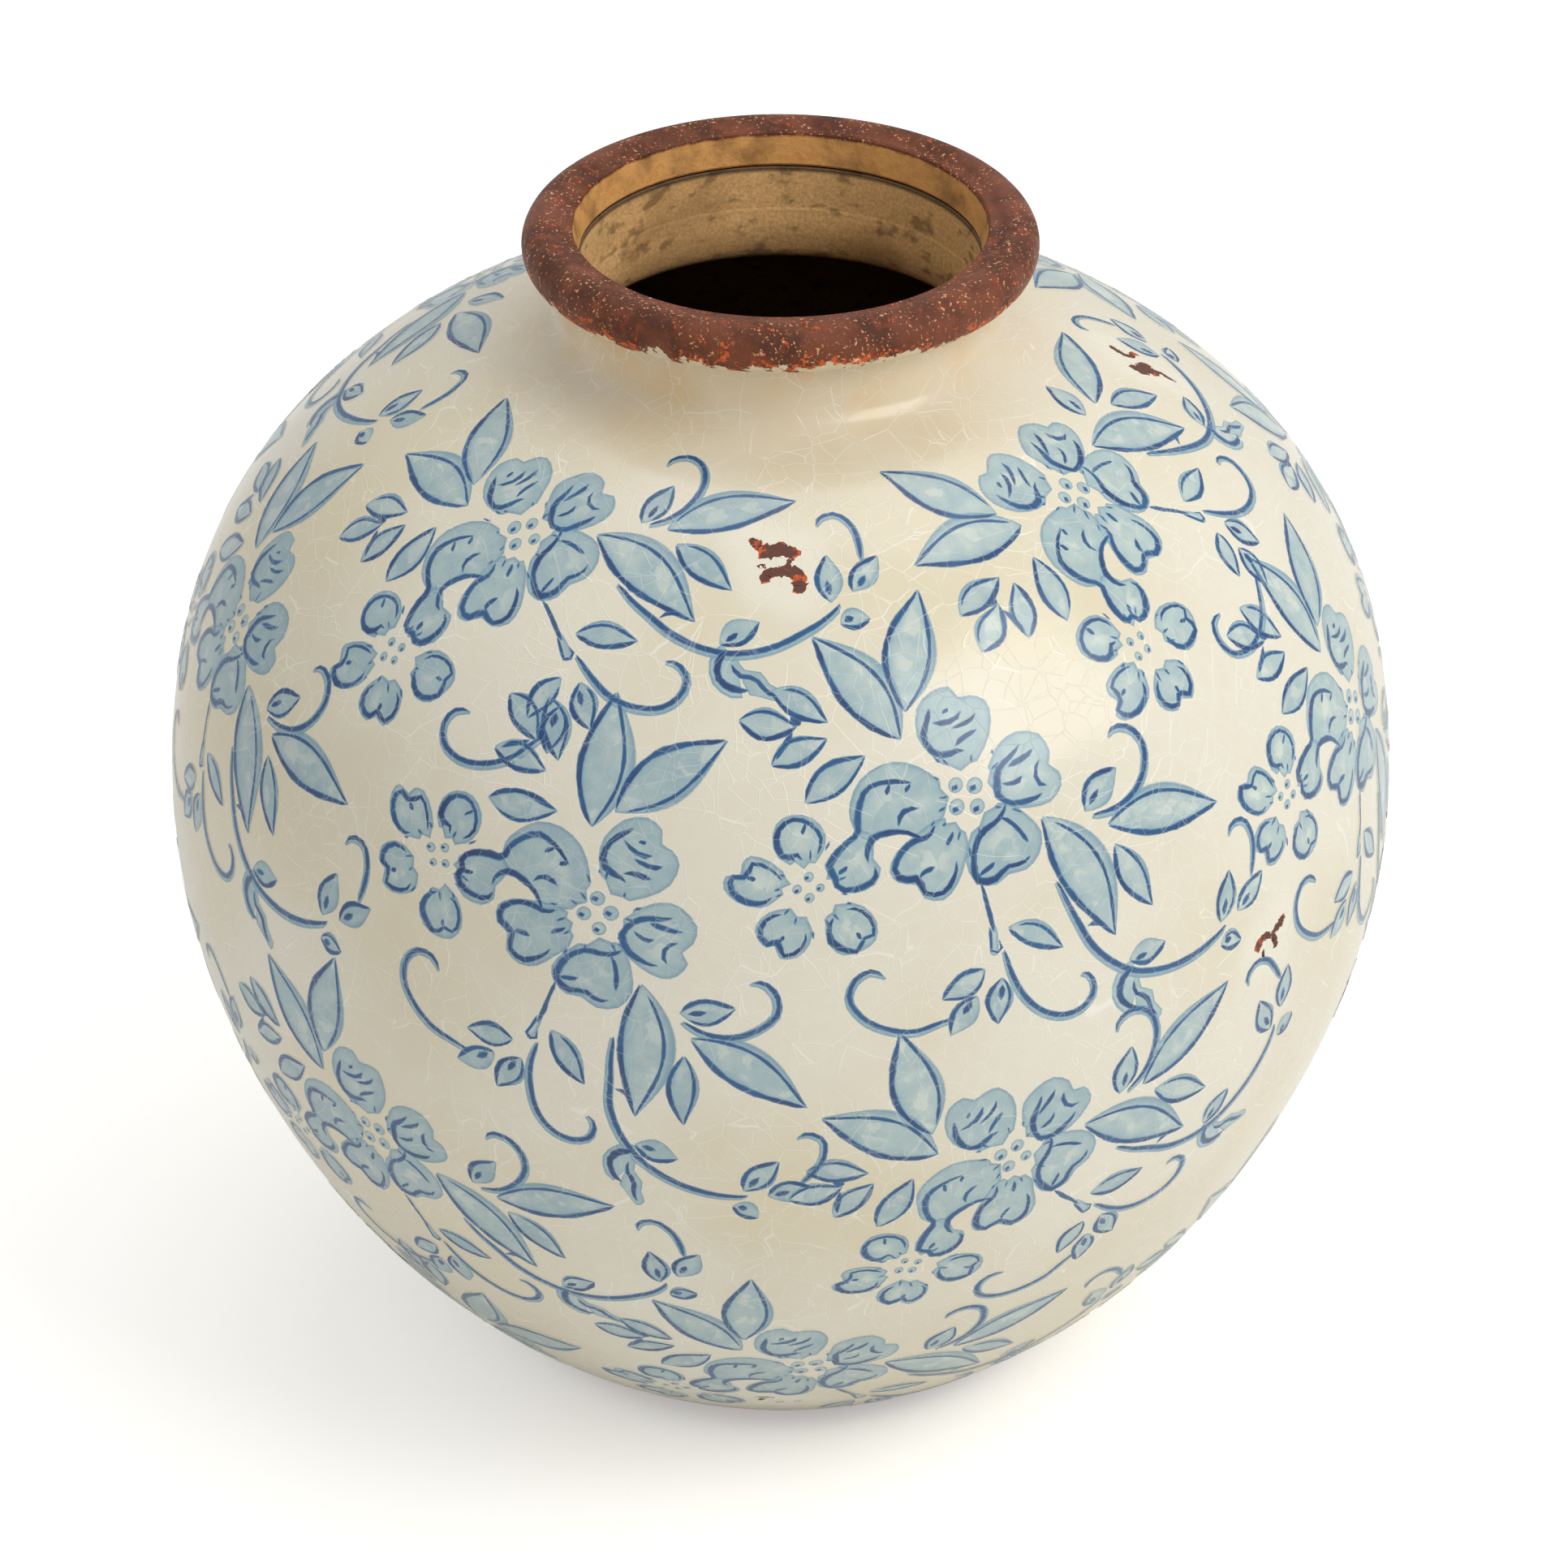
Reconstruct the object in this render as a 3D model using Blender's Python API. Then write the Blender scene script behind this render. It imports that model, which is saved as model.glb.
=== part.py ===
"""A ball-shaped pottery vase, built from its thrown sections: foot ring, lower bowl, upper bowl, neck collar,
rolled lip and the coat of glaze over them. Metres, +Z up, origin under the foot's centre."""

import math

import bmesh
import bpy

# Overall sizes, measured over the glaze
BELLY_RADIUS = 0.125
BELLY_HEIGHT = 0.1196  # the widest point above the table
TOTAL_HEIGHT = 0.2496

# The two curves of the body: how full each is, where 2 is an ellipse, and how far below the table the bowl's
# would run to its pole. The shoulder's rise follows from the heights.
SHOULDER_FULLNESS = 2.58
BOWL_FULLNESS = 1.70
BOWL_OVERRUN = 0.0158

# Neck and lip
NECK_RADIUS = 0.044  # over the glaze
NECK_WALL = 0.0031
NECK_LENGTH = 0.0179  # from its seat on the shoulder to the crown of the lip
NECK_FILLET = 0.007  # where the neck flares into the shoulder
THROAT_ROUND = 0.003  # the inner corner where the neck opens into the body
LIP_OVERHANG = 0.007  # how far the lip stands out past the neck
LIP_ROLL_RADIUS = 0.0049
LIP_SEAT_DROP = 0.0078  # the lip's seat on the neck below the crown
MOUTH_FLARE = 0.0013  # how much wider the mouth is than the neck's bore
MOUTH_DROP = 0.001  # the mouth's inner edge below the crown of the lip

# Foot
FOOT_INSET = 0.0038  # the foot's side inside the bowl's lower edge
FOOT_WIDTH = 0.010
FOOT_HEIGHT = 0.004
FOOT_CHAMFER = 0.001

# Thicknesses and clearances
WALL = 0.006
FLOOR = 0.007
GLAZE = 0.0008
GAP = 0.0003  # the slip joint between two sections, and between clay and glaze
KEY_SHARE = 0.35  # height of a joint's V-shaped key as a share of its half width
GLAZE_STOP = 0.0006  # the glaze ends this far above the base

# Facets
TURNS = 48
BOWL_STEPS = 9
ARC_STEPS = 3
ROLL_STEPS = 12

COAT = GAP + GLAZE
CLAY_RADIUS = BELLY_RADIUS - COAT
CLAY_NECK_RADIUS = NECK_RADIUS - COAT
NECK_BORE_RADIUS = CLAY_NECK_RADIUS - NECK_WALL
NECK_SEAT = TOTAL_HEIGHT - NECK_LENGTH
LIP_CENTRE_RADIUS = NECK_RADIUS + LIP_OVERHANG - LIP_ROLL_RADIUS
LIP_CENTRE_HEIGHT = TOTAL_HEIGHT - LIP_ROLL_RADIUS
LIP_SEAT_HEIGHT = TOTAL_HEIGHT - LIP_SEAT_DROP
LIP_UNDERSIDE = LIP_CENTRE_HEIGHT - LIP_ROLL_RADIUS
BOWL_DROP = BELLY_HEIGHT + BOWL_OVERRUN - COAT


def halved(low, high, is_past):
    """The value between low and high where is_past turns true."""
    for _ in range(60):
        middle = (low + high) / 2
        if is_past(middle):
            high = middle
        else:
            low = middle
    return (low + high) / 2


def body_point(turn, reach, fullness, side):
    """(radius, height, normal radius, normal height) on the clay's outer curve. turn is 0 at the belly and a
    quarter turn at the pole; side is 1 above the belly and -1 below it."""
    radius = CLAY_RADIUS * math.cos(turn)
    share = max(math.sin(turn), 1e-9) ** (2 / fullness)
    run = CLAY_RADIUS * math.sin(turn)
    rise = reach * 2 / fullness * share * math.cos(turn) / max(math.sin(turn), 1e-9)
    length = math.hypot(run, rise)
    return radius, BELLY_HEIGHT + side * reach * share, rise / length, side * run / length


def offset(point, distance):
    """The (radius, height) that lies this far out along the point's normal."""
    radius, height, normal_radius, normal_height = point
    return radius + distance * normal_radius, height + distance * normal_height


def turn_at_radius(distance, radius, rise=None):
    """Where the shoulder curve, moved out by distance, reaches this radius."""
    return halved(0.0, math.pi / 2, lambda turn: offset(shoulder_point(turn, rise), distance)[0] < radius)


def seat_height(rise):
    """Where the neck would start on a shoulder with this rise: the height of its fillet's centre."""
    turn = turn_at_radius(NECK_FILLET, CLAY_NECK_RADIUS + NECK_FILLET, rise)
    return offset(shoulder_point(turn, rise), NECK_FILLET)[1]


def shoulder_point(turn, rise=None):
    return body_point(turn, SHOULDER_RISE if rise is None else rise, SHOULDER_FULLNESS, 1)


def bowl_point(turn):
    return body_point(turn, BOWL_DROP, BOWL_FULLNESS, -1)


def turn_at_height(distance, height):
    """Where the bowl curve, moved out by distance, comes down to this height."""
    return halved(0.0, math.pi / 2, lambda turn: offset(bowl_point(turn), distance)[1] < height)


SHOULDER_RISE = halved(0.0, TOTAL_HEIGHT, lambda rise: seat_height(rise) > NECK_SEAT)


def curve(point_at, last_turn, steps):
    """Points with normals from the belly to last_turn."""
    return [point_at(last_turn * i / steps) for i in range(steps + 1)]


def arc(centre_radius, centre_height, radius, first, last, steps):
    """Points on a circle, with angles in radians from the outward radius."""
    return [
        (
            centre_radius + radius * math.cos(first + (last - first) * i / steps),
            centre_height + radius * math.sin(first + (last - first) * i / steps),
        )
        for i in range(steps + 1)
    ]


def key(outer, inner, height, side=1):
    """The V-shaped key of a joint, from its outer to its inner radius: a tongue that points down, or the
    groove that takes it, as both sections share its slopes. side -1 runs it from inside to outside."""
    middle = (outer + inner) / 2
    depth = (outer - inner) / 2 * KEY_SHARE
    points = [(outer, height), (middle, height - depth), (inner, height)]
    return points[::side]


def foot_radius():
    """The foot's outer radius, from the lower edge of the bowl that it stands under."""
    return bowl_point(turn_at_height(0.0, FOOT_HEIGHT))[0] - FOOT_INSET


def throat():
    """(turn where the inner curve meets its rounding, the rounding's centre height)."""
    turn = turn_at_radius(THROAT_ROUND - WALL, NECK_BORE_RADIUS + THROAT_ROUND)
    return turn, offset(shoulder_point(turn), THROAT_ROUND - WALL)[1]


def skin_above_belly():
    """The clay's outer surface with normals: shoulder, fillet and neck up to just under the lip."""
    turn = turn_at_radius(NECK_FILLET, CLAY_NECK_RADIUS + NECK_FILLET)
    centre_radius = CLAY_NECK_RADIUS + NECK_FILLET
    shoulder = curve(shoulder_point, turn, BOWL_STEPS)
    _, _, normal_radius, normal_height = shoulder[-1]
    first = math.atan2(-normal_height, -normal_radius)
    fillet = []
    for i in range(1, ARC_STEPS + 1):
        angle = first + (-math.pi - first) * i / ARC_STEPS
        across, up = math.cos(angle), math.sin(angle)
        fillet.append((centre_radius + NECK_FILLET * across, NECK_SEAT + NECK_FILLET * up, -across, -up))
    neck_top = (CLAY_NECK_RADIUS, LIP_UNDERSIDE - GAP, 1.0, 0.0)
    return shoulder + fillet + [neck_top]


def material(name, colour, roughness):
    made = bpy.data.materials.new(name)
    made.use_nodes = True
    shader = made.node_tree.nodes["Principled BSDF"]
    shader.inputs["Base Color"].default_value = (*colour, 1.0)
    shader.inputs["Roughness"].default_value = roughness
    shader.inputs["Metallic"].default_value = 0.0
    return made


def turned(name, outline, finish, closed=True):
    """A solid of revolution from (radius, height) points. An open outline starts and ends on the axis."""
    mesh = bpy.data.meshes.new(name)
    shape = bmesh.new()
    verts = [shape.verts.new((radius, 0.0, height)) for radius, height in outline]
    ends = verts[1:] + verts[:1] if closed else verts[1:]
    edges = [shape.edges.new(pair) for pair in zip(verts, ends)]
    bmesh.ops.spin(
        shape,
        geom=verts + edges,
        cent=(0, 0, 0),
        axis=(0, 0, 1),
        angle=2 * math.pi,
        steps=TURNS,
        use_merge=True,
    )
    bmesh.ops.remove_doubles(shape, verts=shape.verts[:], dist=1e-6)
    bmesh.ops.recalc_face_normals(shape, faces=shape.faces[:])
    shape.to_mesh(mesh)
    shape.free()
    mesh.shade_smooth()
    mesh.set_sharp_from_angle(angle=math.radians(35))
    mesh.materials.append(finish)
    made = bpy.data.objects.new(name, mesh)
    bpy.context.scene.collection.objects.link(made)
    return made


def foot_ring(clay):
    """The turned ring that the vase stands on, keyed into the base."""
    outer = foot_radius()
    inner = outer - FOOT_WIDTH
    outline = [(inner + FOOT_CHAMFER, 0.0), (outer - FOOT_CHAMFER, 0.0), (outer, FOOT_CHAMFER)]
    outline += key(outer, inner, FOOT_HEIGHT - GAP)
    outline += [(inner, FOOT_CHAMFER)]
    return turned("foot_ring", outline, clay)


def lower_bowl(clay):
    """The lower half: floor, wall and the grooved rim that takes the upper half."""
    outer = curve(bowl_point, turn_at_height(0.0, FOOT_HEIGHT), BOWL_STEPS)
    inner = curve(bowl_point, turn_at_height(-WALL, FOOT_HEIGHT + FLOOR), BOWL_STEPS)
    rim_height = BELLY_HEIGHT - GAP
    outline = [(0.0, FOOT_HEIGHT)]
    outline += key(foot_radius(), foot_radius() - FOOT_WIDTH, FOOT_HEIGHT, side=-1)
    outline += [offset(point, 0.0) for point in outer[:0:-1]]
    outline += key(CLAY_RADIUS, CLAY_RADIUS - WALL, rim_height)
    outline += [offset(point, -WALL) for point in inner[1:]]
    outline += [(0.0, FOOT_HEIGHT + FLOOR)]
    return turned("lower_bowl", outline, clay, closed=False)


def upper_bowl(clay):
    """The upper half: the tongued rim, the shoulder, and the fillet up to the neck's seat."""
    outer = skin_above_belly()[:-2]
    throat_turn, throat_height = throat()
    inner = curve(shoulder_point, throat_turn, BOWL_STEPS)
    _, _, normal_radius, normal_height = inner[-1]
    first = math.atan2(-normal_height, -normal_radius)
    rounding = arc(NECK_BORE_RADIUS + THROAT_ROUND, throat_height, THROAT_ROUND, first, -math.pi, ARC_STEPS)
    outline = key(CLAY_RADIUS, CLAY_RADIUS - WALL, BELLY_HEIGHT, side=-1)
    outline += [offset(point, 0.0) for point in outer[1:]]
    outline += key(CLAY_NECK_RADIUS, NECK_BORE_RADIUS, NECK_SEAT)
    outline += rounding[:0:-1]
    outline += [offset(point, -WALL) for point in inner[:0:-1]]
    return turned("upper_bowl", outline, clay)


def neck_collar(clay):
    """The thrown ring between the shoulder and the lip."""
    outline = key(CLAY_NECK_RADIUS, NECK_BORE_RADIUS, NECK_SEAT + GAP, side=-1)
    outline += key(CLAY_NECK_RADIUS, NECK_BORE_RADIUS, LIP_SEAT_HEIGHT - GAP)
    return turned("neck_collar", outline, clay)


def lip_ring(clay):
    """The rolled lip. Its skirt laps the neck, and its inner face narrows down to the seat."""
    mouth_height = TOTAL_HEIGHT - MOUTH_DROP
    mouth_angle = math.pi - math.asin((mouth_height - LIP_CENTRE_HEIGHT) / LIP_ROLL_RADIUS)
    roll = arc(LIP_CENTRE_RADIUS, LIP_CENTRE_HEIGHT, LIP_ROLL_RADIUS, -math.pi / 2, mouth_angle, ROLL_STEPS)
    skirt_radius = CLAY_NECK_RADIUS + GAP
    outline = [(skirt_radius, LIP_UNDERSIDE)]
    outline += roll
    outline += [(NECK_BORE_RADIUS + MOUTH_FLARE, mouth_height), (NECK_BORE_RADIUS, LIP_SEAT_HEIGHT)]
    outline += key(CLAY_NECK_RADIUS, NECK_BORE_RADIUS, LIP_SEAT_HEIGHT, side=-1)[1:]
    outline += [(skirt_radius, LIP_SEAT_HEIGHT)]
    return turned("lip_ring", outline, clay)


def glaze_coat(glaze):
    """The glassy coat from above the base up to the lip."""
    end = turn_at_height(GAP, FOOT_HEIGHT + GLAZE_STOP)
    below = curve(bowl_point, end, BOWL_STEPS)
    skin = below[:0:-1] + skin_above_belly()
    outline = [offset(point, COAT) for point in skin]
    outline += [offset(point, GAP) for point in reversed(skin)]
    return turned("glaze_coat", outline, glaze)


def build():
    for leftover in list(bpy.data.objects):
        bpy.data.objects.remove(leftover)
    clay = material("terracotta", (0.52, 0.27, 0.16), 0.85)
    slipped_clay = material("brown_slip", (0.17, 0.055, 0.035), 0.6)
    glaze = material("crackle_glaze", (0.76, 0.72, 0.62), 0.2)
    foot_ring(clay)
    lower_bowl(clay)
    upper_bowl(clay)
    neck_collar(clay)
    lip_ring(slipped_clay)
    glaze_coat(glaze)


build()
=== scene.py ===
import math
import random

import bmesh
import bpy
import numpy as np
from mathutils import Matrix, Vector
from mathutils.bvhtree import BVHTree


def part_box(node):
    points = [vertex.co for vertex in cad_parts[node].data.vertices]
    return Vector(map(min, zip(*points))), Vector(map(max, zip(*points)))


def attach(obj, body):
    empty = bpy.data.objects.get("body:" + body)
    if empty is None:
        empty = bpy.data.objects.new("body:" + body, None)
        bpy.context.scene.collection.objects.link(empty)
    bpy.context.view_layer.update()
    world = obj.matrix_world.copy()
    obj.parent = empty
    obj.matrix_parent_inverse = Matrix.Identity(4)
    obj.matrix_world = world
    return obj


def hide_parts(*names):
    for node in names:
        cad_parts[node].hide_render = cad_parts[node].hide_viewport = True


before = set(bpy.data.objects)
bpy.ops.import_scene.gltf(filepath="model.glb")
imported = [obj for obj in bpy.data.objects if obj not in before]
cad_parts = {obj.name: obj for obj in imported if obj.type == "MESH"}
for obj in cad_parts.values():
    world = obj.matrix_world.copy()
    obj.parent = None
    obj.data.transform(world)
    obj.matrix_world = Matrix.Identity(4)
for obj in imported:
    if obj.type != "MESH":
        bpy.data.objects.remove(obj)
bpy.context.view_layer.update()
mm = 0.001
print("frame loaded")


# the vase's form, read from the frame

vaseForm = {
    "turns": 240,
    "skinStep": 2.0 * mm,  # along the visible outside
    "innerStep": 5.0 * mm,
    "smallStep": 1.5 * mm,  # along the foot ring and the neck
    "lipStep": 0.8 * mm,
    "weld": 0.002 * mm,
    "underside": 8 * mm,  # faces below this look at the table
    "floorTop": 30 * mm,  # a level face below this is the inside's floor
    "cornerAngle": math.radians(30),  # sharper than this is a real edge, and gets the small round
    "cornerRound": 0.35 * mm,
    "sharpAngle": math.radians(35),
    # how far the potter's hands left the form off round, always inwards:
    # lobes, where they start, their twist for each metre of height, and the pull
    "waves": ((2, 0.6, 21, 0.10 * mm), (3, 1.9, -34, 0.06 * mm)),
    "stillRadius": 30 * mm,  # nearer the axis than this the waves die away
    "paintRoom": 0.15 * mm,  # the form is this much smaller than the CAD, so that its box holds the paint too
}


def outlineOf(nodeName):
    # a CAD piece's section in the half plane where its turning starts, as (radius, height) points in order
    shape = bmesh.new()
    shape.from_mesh(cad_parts[nodeName].data)
    bmesh.ops.remove_doubles(shape, verts=shape.verts, dist=1e-6)
    seam = [vert for vert in shape.verts if abs(vert.co.y) < 1e-6 and vert.co.x > -1e-6]
    links = {}
    for vert in seam:
        links[vert] = [edge.other_vert(vert) for edge in vert.link_edges if edge.other_vert(vert) in seam]
    onAxis = [vert for vert in seam if vert.co.x < 1e-6]
    loose = [vert for vert in seam if len(links[vert]) == 1]
    start = min(onAxis or loose or seam, key=lambda vert: vert.co.z)
    ordered, left = [start], [vert for vert in seam if vert != start]
    while left:
        near = [vert for vert in links[ordered[-1]] if vert in left]
        ordered.append(min(near or left, key=lambda vert: (vert.co - ordered[-1].co).length))
        left.remove(ordered[-1])
    points = [Vector((vert.co.x, vert.co.z)) for vert in ordered]
    solid = BVHTree.FromBMesh(shape)
    beside = (1e-5, 2e-5)  # the rays run just beside the axis, clear of any edge
    floor = [solid.ray_cast(Vector((*beside, side)), Vector((0, 0, -side)))[0] for side in (-1, 1)]
    shape.free()
    if onAxis or None in floor:
        return points, not onAxis
    # a flat floor has no vertex on the axis, so it gets one below and one above
    return [Vector((0, floor[0].z)), *points, Vector((0, floor[1].z))], False


def turningAt(before, point, after):
    return abs((point - before).angle_signed(after - point, 0.0))


def curveAt(t, start, startSlope, end, endSlope):
    # a smooth curve between two places, which leaves and arrives along the two slopes
    return (
        (2 * t**3 - 3 * t**2 + 1) * start
        + (t**3 - 2 * t**2 + t) * startSlope
        + (3 * t**2 - 2 * t**3) * end
        + (t**3 - t**2) * endSlope
    )


def curvedRun(points, step):
    # one smooth stretch, filled in with a spline through its points
    if len(points) < 3:
        count = max(1, round((points[-1] - points[0]).length / (2 * step)))
        return [points[0].lerp(points[-1], i / count) for i in range(count)]
    at = np.concatenate([[0], np.cumsum([(b - a).length for a, b in zip(points, points[1:])])])
    place = np.array([tuple(point) for point in points])
    slope = np.gradient(place, at, axis=0, edge_order=2)
    filled = []
    for i, span in enumerate(np.diff(at)):
        count = max(1, round(span / step))
        for k in range(count):
            filled.append(curveAt(k / count, place[i], span * slope[i], place[i + 1], span * slope[i + 1]))
    return [Vector(point) for point in filled]


def finerOutline(points, closed, step):
    # the same section with its curves filled in and its real edges slightly rounded
    count = len(points)
    corners = [] if closed else [0, 1, count - 2, count - 1]
    for i in range(count):
        turning = turningAt(points[i - 1], points[i], points[(i + 1) % count])
        if i not in corners and turning > vaseForm["cornerAngle"]:
            corners.append(i)
    corners.sort()
    runs = list(zip(corners, corners[1:] + ([corners[0] + count] if closed else [])))
    outline = []
    for first, last in runs:
        run = [points[k % count].copy() for k in range(first, last + 1)]
        for end, inner in ((0, 1), (-1, -2)):
            away = run[inner] - run[end]
            atAxis = not closed and run[end].x < 1e-6
            run[end] += away.normalized() * (0 if atAxis else min(vaseForm["cornerRound"], away.length / 3))
        outline += curvedRun(run, step) + [run[-1]]
    return outline


def handThrown(places):
    # slow unevenness round the form, the same for every skin so that their gaps stay
    around = np.arctan2(places[:, 1], places[:, 0])
    across = np.hypot(places[:, 0], places[:, 1])
    pull = vaseForm["paintRoom"]
    for lobes, start, twist, most in vaseForm["waves"]:
        pull = pull + most * (1 + np.sin(lobes * around + start + twist * places[:, 2]))
    share = 1 - pull * np.clip(across / vaseForm["stillRadius"], 0, 1) / np.maximum(across, 1e-6)
    return places * np.stack([share, share, np.ones_like(share)], axis=1)


def verticesOf(mesh):
    places = np.zeros(len(mesh.vertices) * 3)
    mesh.vertices.foreach_get("co", places)
    return places.reshape(-1, 3)


def smoothed(mesh):
    mesh.shade_smooth()
    mesh.set_sharp_from_angle(angle=vaseForm["sharpAngle"])


def finished(name, mesh, materials):
    for material in materials:
        mesh.materials.append(material)
    smoothed(mesh)
    made = bpy.data.objects.new(name, mesh)
    bpy.context.scene.collection.objects.link(made)
    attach(made, "root")
    return made


def spun(name, outline, closed, insideFrom=None):
    # a mesh turned round the vase's axis from (radius, height) points, with its inside in the second material
    shape = bmesh.new()
    verts = [shape.verts.new((radius, 0, height)) for radius, height in outline]
    edges = [shape.edges.new(pair) for pair in zip(verts, verts[1:] + (verts[:1] if closed else []))]
    turn = {"cent": (0, 0, 0), "axis": (0, 0, 1), "angle": 2 * math.pi, "steps": vaseForm["turns"]}
    bmesh.ops.spin(shape, geom=verts + edges, use_merge=True, **turn)
    bmesh.ops.remove_doubles(shape, verts=shape.verts, dist=vaseForm["weld"])
    bmesh.ops.recalc_face_normals(shape, faces=shape.faces)
    for face in shape.faces if insideFrom else ():
        face.material_index = int(insideFrom(face))
    mesh = bpy.data.meshes.new(name)
    shape.to_mesh(mesh)
    shape.free()
    mesh.vertices.foreach_set("co", handThrown(verticesOf(mesh)).ravel())
    return mesh


def thrown(name, nodeName, materials, step, insideFrom=None):
    # a finer piece in place of a CAD node, spun from its section
    points, closed = outlineOf(nodeName)
    mesh = spun(name, finerOutline(points, closed, step), closed, insideFrom)
    made = finished(name, mesh, materials)
    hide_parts(nodeName)
    return made


# shader steps


def linear(red, green, blue):
    # a colour as seen on screen, 0 to 255, turned into the linear one that a shader takes
    shares = [value / 255 for value in (red, green, blue)]
    return tuple(s / 12.92 if s <= 0.04045 else ((s + 0.055) / 1.055) ** 2.4 for s in shares) + (1.0,)


class Steps:
    # the steps that shader groups and materials are made of: each gives the sockets it ends in

    def __init__(self, tree):
        self.tree = tree

    def join(self, value, socket):
        if isinstance(value, bpy.types.NodeSocket):
            self.tree.links.new(value, socket)
        else:
            socket.default_value = value

    def add(self, kind, inputs=None, **settings):
        node = self.tree.nodes.new("ShaderNode" + kind)
        for name, value in settings.items():
            setattr(node, name, value)
        for name, value in (inputs or {}).items():
            self.join(value, node.inputs[name])
        return node.outputs

    def maths(self, operation, *values):
        return self.add("Math", dict(enumerate(values)), operation=operation)[0]

    def times(self, first, second):
        return self.maths("MULTIPLY", first, second)

    def plus(self, first, second):
        return self.maths("ADD", first, second)

    def minus(self, first, second):
        return self.maths("SUBTRACT", first, second)

    def step(self, value, low, high, outLow=0.0, outHigh=1.0):
        # a smooth step from low to high
        ends = {"Value": value, "From Min": low, "From Max": high, "To Min": outLow, "To Max": outHigh}
        return self.add("MapRange", ends, interpolation_type="SMOOTHSTEP")["Result"]


class Finish(Steps):
    # a material while it is made: each coat lies over the colour so far

    def __init__(self, name, ground, roughness):
        self.material = bpy.data.materials.new(name)
        self.material.use_nodes = True
        super().__init__(self.material.node_tree)
        self.shader = self.tree.nodes["Principled BSDF"].inputs
        self.position = self.add("TexCoord")["Object"]
        self.colour = ground
        self.join(roughness, self.shader["Roughness"])

    def use(self, group, **inputs):
        return self.add("Group", {"position": self.position} | inputs, node_tree=group)[0]

    def patches(self, scale, detail, low, high, distortion=0.0, **place):
        noise = {"scale": scale, "detail": detail, "low": low, "high": high, "distortion": distortion}
        return self.use(patches, **noise, **place)

    def noise(self, scale, detail, roughness=0.5, place=None):
        inputs = {"Scale": scale, "Detail": detail, "Roughness": roughness}
        return self.add("TexNoise", inputs | {"Vector": self.position if place is None else place})["Fac"]

    def carried(self, name):
        # a value that the mesh carries at its vertices
        return self.add("Attribute", attribute_name=name)["Fac"]

    def along(self, axis):
        return self.add("SeparateXYZ", {"Vector": self.position})[axis]

    def coat(self, colour, mask, share=None):
        # lays a colour over what is there, where the mask says and as strongly as the share says
        factor = mask if share is None else self.times(mask, share)
        self.colour = self.add("Mix", {0: factor, 6: self.colour, 7: colour}, data_type="RGBA")[2]

    def relief(self, height, strength, depth):
        bump = self.add("Bump", {"Height": height, "Strength": strength, "Distance": depth})
        self.join(bump["Normal"], self.shader["Normal"])

    def done(self):
        self.join(self.colour, self.shader["Base Color"])
        return self.material


# shader groups that several finishes share

crackleForm = {
    "families": ((105.0, 0.014, 0.22), (210.0, 0.028, 0.36)),  # scale, width, and the level they show from
    "fadeSpan": 0.2,
    "fadeScale": 60.0,
    "warpScale": 70.0,
    "warp": 3.5 * mm,  # how far the lines wander
}
speckForm = {
    "least": 0.35,  # the smallest speck, as a share that is added to its draw
    "soft": 0.45,
}


def newGroup(name, **numbers):
    # a shader group that takes a position and some numbers, and gives one number
    group = bpy.data.node_groups.new(name, "ShaderNodeTree")
    group.interface.new_socket(name="position", in_out="INPUT", socket_type="NodeSocketVector")
    for number, value in numbers.items():
        socket = group.interface.new_socket(name=number, in_out="INPUT", socket_type="NodeSocketFloat")
        socket.default_value = value
    group.interface.new_socket(name="share", in_out="OUTPUT", socket_type="NodeSocketFloat")
    given, out = group.nodes.new("NodeGroupInput").outputs, group.nodes.new("NodeGroupOutput").inputs[0]
    return Steps(group), given, out


def makePatches():
    # soft or ragged patches: noise cut between two levels
    steps, given, out = newGroup("patches", scale=40.0, detail=4.0, distortion=0.0, low=0.45, high=0.55)
    inputs = {name.capitalize(): given[name] for name in ("scale", "detail", "distortion")}
    field = steps.add("TexNoise", inputs | {"Vector": given["position"]})["Fac"]
    steps.join(steps.step(field, given["low"], given["high"]), out)
    return steps.tree


def makeSpecks():
    # scattered round specks: only the cells that draw a low enough number hold one
    steps, given, out = newGroup("specks", scale=200.0, size=0.2, held=0.2)
    cells = steps.add("TexVoronoi", {"Vector": given["position"], "Scale": given["scale"]})
    drawn = steps.add("SeparateColor", {"Color": cells["Color"]})
    held = steps.maths("LESS_THAN", drawn["Red"], given["held"])
    reach = steps.times(given["size"], steps.plus(drawn["Green"], speckForm["least"]))
    inside = steps.minus(1.0, steps.maths("DIVIDE", cells["Distance"], reach))
    steps.join(steps.times(held, steps.step(inside, 0.0, speckForm["soft"])), out)
    return steps.tree


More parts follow.
